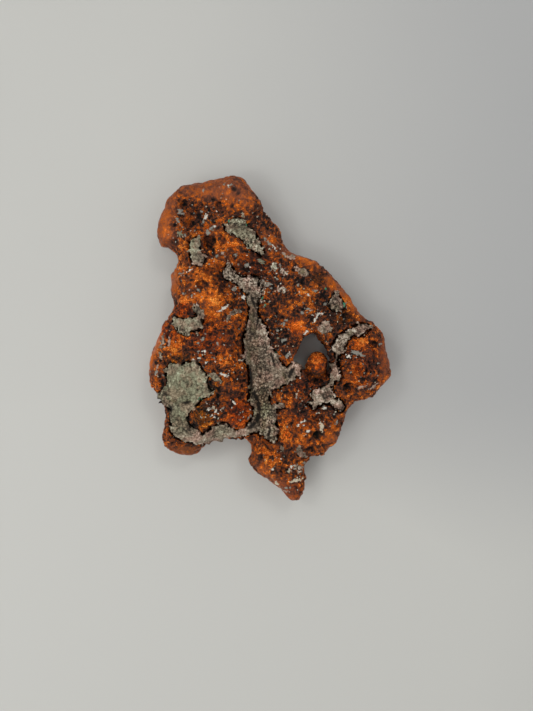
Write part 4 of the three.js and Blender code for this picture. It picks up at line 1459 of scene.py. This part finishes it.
class Nodes:
    """Shorthand for the nodes of one material or group."""

    def __init__(self, tree: bpy.types.NodeTree) -> None:
        """Keeps the tree that the nodes are added to."""
        self.tree = tree

    def add(self, kind: str, **values: object) -> bpy.types.Node:
        """Adds a node.

        Args:
            kind: The node's type.
            values: Its properties.

        Returns:
            The node.
        """
        node = self.tree.nodes.new(kind)
        for name, value in values.items():
            setattr(node, name, value)
        return node

    def join(self, out: Socket, into: Socket) -> None:
        """Links two sockets."""
        self.tree.links.new(out, into)

    def feed(self, socket: Socket, value: object) -> None:
        """Links a socket to another, or sets it to a plain value."""
        if isinstance(value, Socket):
            self.join(value, socket)
        elif value is not None:
            socket.default_value = value

    def math(self, operation: str, a: object, b: object = None, clamp: bool = False) -> Socket:
        """Adds a sum.

        Args:
            operation: What is done.
            a: The first number or socket.
            b: The second number or socket.
            clamp: Whether the result is kept from 0 to 1.

        Returns:
            The result's socket.
        """
        node = self.add("ShaderNodeMath", operation=operation, use_clamp=clamp)
        self.feed(node.inputs[0], a)
        self.feed(node.inputs[1], b)
        return node.outputs[0]

    def times(self, a: object, b: object) -> Socket:
        """Multiplies two numbers or sockets."""
        return self.math("MULTIPLY", a, b)

    def plus(self, total: object, value: object, weight: float = 1.0) -> Socket:
        """Adds a share of one number to another.

        Args:
            total: The number or socket that is added to.
            value: What is added.
            weight: How much of it is added, below 0 where it is taken away.

        Returns:
            The sum's socket.
        """
        return self.math("ADD", total, value if weight == 1.0 else self.times(value, weight))

    def swing(self, value: object, strength: object) -> Socket:
        """Turns noise from 0 to 1 into a swing to both sides of 0.

        Args:
            value: The noise.
            strength: How far it swings, from end to end.

        Returns:
            The swing's socket.
        """
        return self.times(self.math("SUBTRACT", value, 0.5), strength)

    def mix(self, amount: object, a: object, b: object, blend: str = "MIX") -> Socket:
        """Mixes two colours.

        Args:
            amount: How much of the second.
            a: The first colour or socket.
            b: The second colour or socket.
            blend: How the second is put on the first.

        Returns:
            The mixed colour's socket.
        """
        node = self.add("ShaderNodeMix", data_type="RGBA", blend_type=blend, clamp_factor=True)
        self.feed(node.inputs["Factor"], amount)
        self.feed(node.inputs[6], a)
        self.feed(node.inputs[7], b)
        return node.outputs[2]

    def tint(self, amount: object, a: object, b: object) -> Socket:
        """Multiplies a colour by another, as far as the amount says."""
        return self.mix(amount, a, b, "MULTIPLY")

    def ramp(self, value: object, stops: tuple) -> Socket:
        """Turns a number into a colour.

        Args:
            value: The number's socket.
            stops: The places and colours of the scale.

        Returns:
            The colour's socket.
        """
        node = self.add("ShaderNodeValToRGB")
        points = node.color_ramp.elements
        for place, _ in stops[2:]:
            points.new(place)
        for point, (place, shade) in zip(points, stops):
            point.position = place
            point.color = shade
        self.feed(node.inputs["Fac"], value)
        return node.outputs["Color"]

    def step(self, value: object, low: float, high: float) -> Socket:
        """Rises smoothly from 0 to 1.

        Args:
            value: The number or socket that is judged.
            low: Where the rise starts.
            high: Where it ends.

        Returns:
            The result's socket.
        """
        node = self.add("ShaderNodeMapRange", interpolation_type="SMOOTHSTEP", clamp=True)
        self.feed(node.inputs["Value"], value)
        node.inputs["From Min"].default_value = low
        node.inputs["From Max"].default_value = high
        return node.outputs["Result"]

    def stored(self, name: str) -> Socket:
        """Reads an attribute of the mesh."""
        return self.add("ShaderNodeAttribute", attribute_name=name).outputs["Fac"]

    def place(self) -> Socket:
        """Reads the Object coordinates."""
        return self.add("ShaderNodeTexCoord").outputs["Object"]

    def pattern(self, kind: str, at: Socket, scale: object, **inputs: float) -> bpy.types.Node:
        """Adds a noise or cell pattern.

        Args:
            kind: The node's type.
            at: The coordinates that it is drawn on.
            scale: How many swells or cells it has in a metre.
            inputs: Its other inputs.

        Returns:
            The node.
        """
        node = self.add(kind)
        self.join(at, node.inputs["Vector"])
        self.feed(node.inputs["Scale"], scale)
        for name, value in inputs.items():
            node.inputs[name].default_value = value
        return node

    def grain(self, size: float, detail: float = 3.0) -> Socket:
        """Noise on Object coordinates.

        Args:
            size: The distance between its swells in millimetres.
            detail: How many finer layers it has.

        Returns:
            The noise's socket, from 0 to 1.
        """
        values = {"Detail": detail, "Roughness": 0.55}
        return self.pattern("ShaderNodeTexNoise", self.place(), per_metre(size), **values).outputs["Fac"]

    def facets(self, size: float) -> Socket:
        """Small crystal faces with sharp crooked borders, each with a level of its own.

        Args:
            size: The width of a face in millimetres.

        Returns:
            The faces' level, from 0 to 1.
        """
        place = self.place()
        sway = self.pattern("ShaderNodeTexNoise", place, per_metre(0.8 * size))
        moved = self.add("ShaderNodeVectorMath", operation="MULTIPLY_ADD")
        self.join(sway.outputs["Color"], moved.inputs[0])
        moved.inputs[1].default_value = (1.6 * size * MM,) * 3
        self.join(place, moved.inputs[2])
        face = self.pattern("ShaderNodeTexVoronoi", moved.outputs["Vector"], per_metre(size))
        split = self.add("ShaderNodeSeparateColor")
        self.join(face.outputs["Color"], split.inputs["Color"])
        return split.outputs["Red"]

    def dots(self, size: float, width: float) -> Socket:
        """Small round places strewn at random.

        Args:
            size: How far apart they lie, in millimetres.
            width: How far each reaches, as a share of that.

        Returns:
            The socket, 1 inside a dot.
        """
        strewn = self.pattern("ShaderNodeTexVoronoi", self.place(), per_metre(size))
        return self.math("SUBTRACT", 1.0, self.step(strewn.outputs["Distance"], 0.6 * width, width))


def per_metre(size: float) -> float:
    """How many times a pattern of this size in millimetres fits in a metre."""
    return 1.0 / (size * MM)


def fresh_group(
    name: str, inputs: dict[str, float], outputs: tuple[str, ...]
) -> tuple[Nodes, bpy.types.Node, bpy.types.Node]:
    """Starts a shared effect.

    Args:
        name: The node group's name.
        inputs: Its inputs, with their usual values.
        outputs: Its outputs.

    Returns:
        Its nodes, where they start and where they end.
    """
    group = bpy.data.node_groups.new(name, "ShaderNodeTree")
    for label, usual in inputs.items():
        group.interface.new_socket(label, in_out="INPUT", socket_type="NodeSocketFloat").default_value = usual
    for label in outputs:
        group.interface.new_socket(label, in_out="OUTPUT", socket_type="NodeSocketFloat")
    nodes = Nodes(group)
    return nodes, nodes.add("NodeGroupInput"), nodes.add("NodeGroupOutput")


def mottle_group() -> bpy.types.NodeTree:
    """The shared effect of mottling: two widths of ragged noise round a given level, built once.

    Returns:
        The node group, with inputs Level, Contrast and Scale and outputs Level and Height.
    """
    made = bpy.data.node_groups.get("mottle")
    if made:
        return made
    inputs = {"Level": 0.5, "Contrast": 1.0, "Scale": 1000.0}
    nodes, entry, leave = fresh_group("mottle", inputs, ("Level", "Height"))
    place = nodes.place()
    layers = []
    for times, detail in ((1.0, 3.0), (2.1, 4.0)):
        scale = nodes.times(entry.outputs["Scale"], times)
        layer = nodes.pattern("ShaderNodeTexNoise", place, scale, Detail=detail, Roughness=0.68)
        layers.append(layer.outputs["Fac"])
    height = nodes.plus(nodes.times(layers[0], 0.52), layers[1], 0.48)
    swing = nodes.swing(height, entry.outputs["Contrast"])
    nodes.join(nodes.plus(entry.outputs["Level"], swing), leave.inputs["Level"])
    nodes.join(height, leave.inputs["Height"])
    return nodes.tree


def mottle(nodes: Nodes, level: object, contrast: object, size: float) -> tuple[Socket, ...]:
    """Places the shared mottling in a material.

    Args:
        nodes: The material's nodes.
        level: The level that it swings round.
        contrast: How strongly it swings.
        size: The width of its patches in millimetres.

    Returns:
        The level's and the height's sockets.
    """
    node = nodes.add("ShaderNodeGroup", node_tree=mottle_group())
    nodes.feed(node.inputs["Level"], level)
    nodes.feed(node.inputs["Contrast"], contrast)
    node.inputs["Scale"].default_value = per_metre(size)
    return node.outputs["Level"], node.outputs["Height"]


def thread_group() -> bpy.types.NodeTree:
    """The shared effect of thin winding lines, such as cracks and rubbed ridges, built once.

    Returns:
        The node group, with inputs Scale and Width and output Mask.
    """
    made = bpy.data.node_groups.get("threads")
    if made:
        return made
    nodes, entry, leave = fresh_group("threads", {"Scale": 1000.0, "Width": 0.05}, ("Mask",))
    scale = entry.outputs["Scale"]
    swell = nodes.pattern("ShaderNodeTexNoise", nodes.place(), scale, Detail=2.5, Distortion=1.2)
    away = nodes.math("ABSOLUTE", nodes.math("SUBTRACT", swell.outputs["Fac"], 0.5))
    mask = nodes.math("SUBTRACT", 1.0, nodes.math("DIVIDE", away, entry.outputs["Width"]), clamp=True)
    nodes.join(mask, leave.inputs["Mask"])
    return nodes.tree


def threads(nodes: Nodes, size: float, width: float) -> Socket:
    """Places the shared winding lines in a material.

    Args:
        nodes: The material's nodes.
        size: How far apart the lines wind, in millimetres.
        width: How broad they are, as a share of the noise's swing.

    Returns:
        The mask's socket, 1 on a line.
    """
    node = nodes.add("ShaderNodeGroup", node_tree=thread_group())
    node.inputs["Scale"].default_value = per_metre(size)
    node.inputs["Width"].default_value = width
    return node.outputs["Mask"]


def fresh_material(name: str) -> tuple[bpy.types.Material, Nodes, bpy.types.Node]:
    """Starts a material.

    Args:
        name: Its name.

    Returns:
        The material, its nodes and its Principled BSDF.
    """
    material = bpy.data.materials.new(name)
    material.use_nodes = True
    material.node_tree.nodes.clear()
    nodes = Nodes(material.node_tree)
    shader = nodes.add("ShaderNodeBsdfPrincipled")
    leave = nodes.add("ShaderNodeOutputMaterial")
    nodes.join(shader.outputs["BSDF"], leave.inputs["Surface"])
    return material, nodes, shader


def set_relief(nodes: Nodes, shader: bpy.types.Node, height: object, deep: float, strength: float) -> None:
    """Gives a material its finest relief.

    Args:
        nodes: The material's nodes.
        shader: Its Principled BSDF.
        height: The relief's height, from 0 to 1.
        deep: What a height of 1 comes to, in millimetres.
        strength: How strongly the relief shows.
    """
    bump = nodes.add("ShaderNodeBump")
    bump.inputs["Strength"].default_value = strength
    bump.inputs["Distance"].default_value = deep * MM
    nodes.join(height, bump.inputs["Height"])
    nodes.join(bump.outputs["Normal"], shader.inputs["Normal"])


@dataclass(frozen=True)
class CopperFinish:
    """Native copper: brown patina, rubbed bright on the high places, black oxide in the pits, and painted
    highlights and facet shading.

    Args:
        tones: The colours from the darkest oxide to rubbed metal and pale painted highlights, with their
            levels.
        red: What red places are multiplied by.
        olive: What olive places are multiplied by.
        level: The usual level.
        marks: What each stored mark adds to the level.
        swell: The width of broad swells, and their strength on smooth metal and what crags add to it.
        cracks: The spacing and width of dark cracks, and what they add to the level.
        strands: The spacing and width of rubbed ridges with painted highlights, and what they add to the
            level.
        glints: The size of small bright places, and what they add to the level.
        faces: The width of crystal faces, and how far their painted light and shade differ.
        pits: The spacing and width of small pits, and what they add to the level.
        speckle: The size of the finest mottling.
        contrast: The mottling's strength on smooth metal, and what crags and bright places add to it.
        metal: How metallic the darkest oxide is, and what rubbed metal adds to it.
        dull: The roughness of dark places, and what rubbed metal and the mottling's height add to it.
        relief: The depth of the finest relief in millimetres, and its strength.
    """

    tones: tuple = (
        (0.0, colour(12, 9, 8)),
        (0.14, colour(38, 26, 21)),
        (0.28, colour(66, 41, 31)),
        (0.42, colour(96, 52, 34)),
        (0.53, colour(138, 74, 43)),
        (0.64, colour(186, 95, 36)),
        (0.78, colour(240, 122, 32)),
        (0.94, colour(255, 160, 72)),
    )
    red: tuple = (0.86, 0.46, 0.38, 1.0)
    olive: tuple = (0.66, 0.86, 0.6, 1.0)
    level: float = 0.575
    marks: tuple = (("bright", 0.19), ("dark", -0.21), ("crease", -0.18), ("rough", -0.03))
    swell: tuple = (3.4, 0.25, 0.45)
    cracks: tuple = (2.8, 0.03, -0.16)
    strands: tuple = (1.6, 0.06, 0.2)
    glints: tuple = (0.85, 0.26)
    faces: tuple = (1.1, 0.42)
    pits: tuple = (1.5, 0.32, -0.3)
    speckle: float = 0.9
    contrast: tuple = (0.36, 2.3, -0.45)
    metal: tuple = (0.1, 0.8)
    dull: tuple = (0.56, -0.36, 0.1)
    relief: tuple = (0.6, 1.0)

    def material(self) -> bpy.types.Material:
        """Builds the material."""
        material, nodes, shader = fresh_material("native copper")
        rough = nodes.stored("rough")
        bright = nodes.stored(Tone.BRIGHT.value)
        smooth, craggy, rubbed = self.contrast
        contrast = nodes.plus(nodes.plus(smooth, rough, craggy), bright, rubbed)
        level, height = mottle(nodes, self.patina(nodes, rough, bright), contrast, self.speckle)
        base = nodes.ramp(level, self.tones)
        base = nodes.tint(nodes.times(nodes.stored(Tone.RED.value), 0.7), base, self.red)
        base = nodes.tint(nodes.times(nodes.stored(Tone.OLIVE.value), 0.8), base, self.olive)
        nodes.join(base, shader.inputs["Base Color"])
        shine = nodes.step(level, 0.36, 0.72)
        least, more = self.metal
        nodes.join(nodes.plus(least, shine, more), shader.inputs["Metallic"])
        most, shiny, uneven = self.dull
        nodes.join(nodes.plus(nodes.plus(most, shine, shiny), height, uneven), shader.inputs["Roughness"])
        shader.inputs["Specular IOR Level"].default_value = 0.22
        set_relief(nodes, shader, nodes.times(height, contrast), *self.relief)
        return material

    def patina(self, nodes: Nodes, rough: Socket, bright: Socket) -> Socket:
        """Works out where on the scale of tones the metal lies, before the finest mottling.

        Args:
            nodes: The material's nodes.
            rough: How craggy the metal is.
            bright: How bright its named places are, from rubbed metal and painted highlights.

        Returns:
            The level's socket.
        """
        level = self.level
        for mark, weight in self.marks:
            level = nodes.plus(level, nodes.stored(mark), weight)
        size, smooth, craggy = self.swell
        level = nodes.plus(level, nodes.swing(nodes.grain(size), nodes.plus(smooth, rough, craggy)))
        size, width, weight = self.cracks
        level = nodes.plus(level, nodes.times(threads(nodes, size, width), rough), weight)
        # Rubbed ridges, lightened as painted highlight streaks.
        size, width, weight = self.strands
        rubbed = nodes.plus(bright, rough, 0.3)
        level = nodes.plus(level, nodes.times(threads(nodes, size, width), rubbed), weight)
        size, weight = self.glints
        level = nodes.plus(level, nodes.times(nodes.step(nodes.grain(size, 2.0), 0.61, 0.65), rough), weight)
        # Crystal faces, each painted its own level of light and shade.
        size, weight = self.faces
        level = nodes.plus(level, nodes.times(nodes.swing(nodes.facets(size), weight), rough))
        size, width, weight = self.pits
        return nodes.plus(level, nodes.times(nodes.dots(size, width), rough), weight)


@dataclass(frozen=True)
class RockFinish:
    """Dull, fine-grained host rock with pale ragged edges and dark specks.

    Args:
        name: The material's name.
        body: Its usual colours from dark specks to pale grains, with their levels.
        blush: What pinkish patches are multiplied by.
        moss: What greenish places are multiplied by.
        murk: What murky places are multiplied by.
        level: The usual level.
        marks: What each stored mark adds to the level.
        swell: The width and strength of broad swells.
        cracks: The spacing and width of dark cracks, and what they add to the level.
        speckle: The size of the finest mottling.
        contrast: The mottling's usual strength, and what mossy and sugary places add to it.
        dull: The least roughness, and what the mottling's height adds to it.
        relief: The depth of the finest relief in millimetres, and its strength.
    """

    name: str = "host rock"
    body: tuple = (
        (0.1, colour(34, 29, 24)),
        (0.32, colour(82, 70, 58)),
        (0.46, colour(126, 110, 93)),
        (0.6, colour(158, 141, 121)),
        (0.85, colour(212, 202, 184)),
    )
    blush: tuple = (1.14, 0.95, 0.96, 1.0)
    moss: tuple = (0.94, 1.2, 1.06, 1.0)
    murk: tuple = (0.55, 0.58, 0.46, 1.0)
    level: float = 0.49
    marks: tuple = ((Hue.PALE.value, 0.14), ("edge", 0.14), ("crease", -0.16), (Hue.SLIT.value, -0.5))
    swell: tuple = (2.8, 0.55)
    cracks: tuple = (2.4, 0.025, -0.22)
    speckle: float = 0.8
    contrast: tuple = (1.8, -0.5, 2.6)
    dull: tuple = (0.75, 0.2)
    relief: tuple = (0.35, 0.8)

    def material(self) -> bpy.types.Material:
        """Builds the material, or finds it."""
        made = bpy.data.materials.get(self.name)
        if made:
            return made
        material, nodes, shader = fresh_material(self.name)
        moss = nodes.stored(Hue.MOSS.value)
        level = self.level
        for mark, weight in self.marks:
            level = nodes.plus(level, nodes.stored(mark), weight)
        size, strength = self.swell
        level = nodes.plus(level, nodes.swing(nodes.grain(size), strength))
        size, width, weight = self.cracks
        level = nodes.plus(level, threads(nodes, size, width), weight)
        usual, mossy, sugary = self.contrast
        contrast = nodes.plus(nodes.plus(usual, moss, mossy), nodes.stored(Hue.SUGAR.value), sugary)
        level, height = mottle(nodes, level, contrast, self.speckle)
        base = nodes.ramp(level, self.body)
        base = nodes.tint(nodes.step(nodes.grain(2.6, 2.0), 0.48, 0.6), base, self.blush)
        base = nodes.tint(moss, base, self.moss)
        base = nodes.tint(nodes.stored(Hue.MURK.value), base, self.murk)
        nodes.join(base, shader.inputs["Base Color"])
        least, uneven = self.dull
        nodes.join(nodes.plus(least, height, uneven), shader.inputs["Roughness"])
        shader.inputs["Specular IOR Level"].default_value = 0.2
        set_relief(nodes, shader, height, *self.relief)
        return material


@dataclass(frozen=True)
class FleckFinish:
    """Flecks of several minerals, coloured by their place on the grain scale.

    Args:
        minerals: The minerals' colours, with their places on the grain scale.
        specks: What the dark specks and the pale rest of a fleck are multiplied by.
        level: The usual level of the specks.
        contrast: The specks' strength.
        speckle: The size of the specks.
        dull: The least roughness, and what the mottling's height adds to it.
        relief: The depth of the finest relief in millimetres, and its strength.
    """

    minerals: tuple = (
        (0.0, colour(232, 228, 216)),
        (0.2, colour(206, 192, 164)),
        (0.35, colour(172, 144, 126)),
        (0.5, colour(142, 138, 126)),
        (0.7, colour(132, 130, 104)),
        (0.95, colour(60, 140, 104)),
    )
    specks: tuple = (
        (0.3, (0.25, 0.24, 0.22, 1.0)),
        (0.5, (0.85, 0.85, 0.85, 1.0)),
        (0.7, (1.0, 1.0, 1.0, 1.0)),
    )
    level: float = 0.56
    contrast: float = 1.2
    speckle: float = 0.5
    dull: tuple = (0.55, 0.3)
    relief: tuple = (0.2, 0.6)

    def material(self) -> bpy.types.Material:
        """Builds the material."""
        material, nodes, shader = fresh_material("mineral flecks")
        level, height = mottle(nodes, self.level, self.contrast, self.speckle)
        mineral = nodes.ramp(nodes.stored("grain"), self.minerals)
        base = nodes.tint(1.0, mineral, nodes.ramp(level, self.specks))
        nodes.join(base, shader.inputs["Base Color"])
        least, uneven = self.dull
        nodes.join(nodes.plus(least, height, uneven), shader.inputs["Roughness"])
        set_relief(nodes, shader, height, *self.relief)
        return material


@dataclass
class Studio:
    """The pale table, the soft light and the camera straight above.

    Args:
        table: The colour of the table.
        shade: Its colour on the side away from the light.
        table_half: Half the width of the table in metres.
        key: The strength of the large soft light from the left.
        glint: The strength of each small light that glints on the metal.
        glint_turns: Where round the nugget the small lights hang, in degrees.
        glint_at: How far out and how high they hang, in metres.
        lid: The strength of the small light overhead, which reaches the table through the hole.
        band: The brightness of the room all round.
        zenith: The brightness straight overhead.
    """

    table: tuple = colour(198, 197, 191)
    shade: tuple = colour(170, 170, 169)
    table_half: float = 1.5
    key: float = 0.95
    glint: float = 0.42
    glint_turns: tuple[int, ...] = (150, 215, 60)
    glint_at: tuple[float, float] = (0.42, 0.56)
    lid: float = 0.16
    band: float = 0.66
    zenith: float = 0.22

    def build(self) -> None:
        """Builds the table, the lights and the camera."""
        self.lay_table()
        self.hang("key light", (-0.42, -0.2, 0.5), 0.6, self.key)
        self.hang("lid light", (0.02, 0.03, 0.6), 0.12, self.lid)
        out, high = self.glint_at
        for index, turn in enumerate(self.glint_turns):
            angle = math.radians(turn)
            at = (out * math.cos(angle), out * math.sin(angle), high)
            self.hang(f"glint light {index}", at, 0.14, self.glint)
        self.set_room()
        bpy.context.scene.view_settings.view_transform = "Standard"
        self.set_camera()

    def set_room(self) -> None:
        """Lights the room evenly from all round, with a dark place overhead where the camera is held."""
        world = bpy.data.worlds.new("room")
        world.use_nodes = True
        nodes = Nodes(world.node_tree)
        height = nodes.add("ShaderNodeSeparateXYZ")
        nodes.join(nodes.add("ShaderNodeTexCoord").outputs["Generated"], height.inputs[0])
        overhead = nodes.step(height.outputs["Z"], 0.84, 0.97)
        back = world.node_tree.nodes["Background"]
        back.inputs["Color"].default_value = (0.98, 0.99, 1.0, 1)
        nodes.join(nodes.plus(self.band, overhead, self.zenith - self.band), back.inputs["Strength"])
        bpy.context.scene.world = world

    def lay_table(self) -> None:
        """Lays the plain table top, with painted shade that darkens it softly to the right and fades out
        towards the lower edge.
        """
        bm = bmesh.new()
        bmesh.ops.create_grid(bm, x_segments=1, y_segments=1, size=self.table_half)
        bmesh.ops.translate(bm, verts=bm.verts, vec=(0, 0, -0.02 * MM))
        mesh = bpy.data.meshes.new("table_top")
        bm.to_mesh(mesh)
        bm.free()
        material, nodes, shader = fresh_material("table")
        place = nodes.add("ShaderNodeSeparateXYZ")
        nodes.join(nodes.place(), place.inputs[0])
        # Painted shade: darker to the right, fading out towards the lower edge.
        right = nodes.times(nodes.step(place.outputs["X"], -0.05, 0.09), 0.85)
        shade = nodes.plus(right, nodes.step(place.outputs["Y"], -0.01, -0.07), -0.8)
        shade = nodes.plus(shade, nodes.grain(40.0, 2.0), 0.1)
        nodes.join(nodes.mix(shade, self.table, self.shade), shader.inputs["Base Color"])
        shader.inputs["Roughness"].default_value = 0.6
        mesh.materials.append(material)
        placed("table_top", mesh)

    def hang(self, name: str, at: tuple[float, float, float], size: float, power: float) -> None:
        """Hangs a square soft light that faces the nugget.

        Args:
            name: Its name.
            at: Its place in metres.
            size: Its width in metres.
            power: Its strength in watts.
        """
        lamp = bpy.data.lights.new(name, "AREA")
        lamp.shape = "SQUARE"
        lamp.size = size
        lamp.energy = power
        hung = placed(name, lamp)
        hung.location = at
        hung.rotation_mode = "QUATERNION"
        hung.rotation_quaternion = (-Vector(at)).to_track_quat("-Z", "Y")

    def set_camera(self) -> None:
        """Sets the camera straight above the table, as the photograph was taken."""
        data = bpy.data.cameras.new("camera")
        data.sensor_width = 36.0
        data.lens = FOCAL_PX / max(PHOTO_PX) * data.sensor_width
        data.clip_start = 0.005
        camera = placed("camera", data)
        camera.location = Vector(CAMERA_AT_MM) * MM
        bpy.context.scene.camera = camera


FILLINGS = (
    RockFilling("rock_seam", "rock_pink", spread=0.0, proud=0.3, overlap=0.3),
    RockFilling("rock_vein", "rock_pink", spread=-0.1, proud=0.75, overlap=0.05),
    RockFilling("rock_patch_crown", "rock_green", spread=0.0, proud=0.55),
    RockFilling("rock_patch_neck", "rock_green"),
    RockFilling("rock_patch_ring", "rock_green"),
    RockFilling("rock_patch_shoulder", "rock_pink", proud=0.6, overlap=0.3),
)


def report(piece: bpy.types.Object) -> None:
    """Says what a piece came to.

    Args:
        piece: The finished piece.
    """
    mesh = piece.data
    triangles = sum(len(face.vertices) - 2 for face in mesh.polygons)
    LOG.info("%s: %d points, %d triangles", piece.name, len(mesh.vertices), triangles)


def main() -> None:
    """Builds the studio and every piece in order."""
    logging.basicConfig(level=logging.INFO, format="%(name)s: %(message)s")
    Studio().build()
    stone = RockFinish()
    fillings = [filling.build(stone) for filling in FILLINGS]
    footprints = [Footprint(filling) for filling in FILLINGS]
    rims = flat_tree([point for footprint in footprints for point in footprint.rim])
    copper = CopperMass().build(CopperFinish(), rims)
    for skin in (copper, *fillings):
        report(skin.shape)
    scatter = Scatter([copper, *fillings])
    report(scatter.build_flecks(FleckFinish()))
    report(scatter.build_crusts(stone, footprints))


if __name__ == "__main__":
    main()
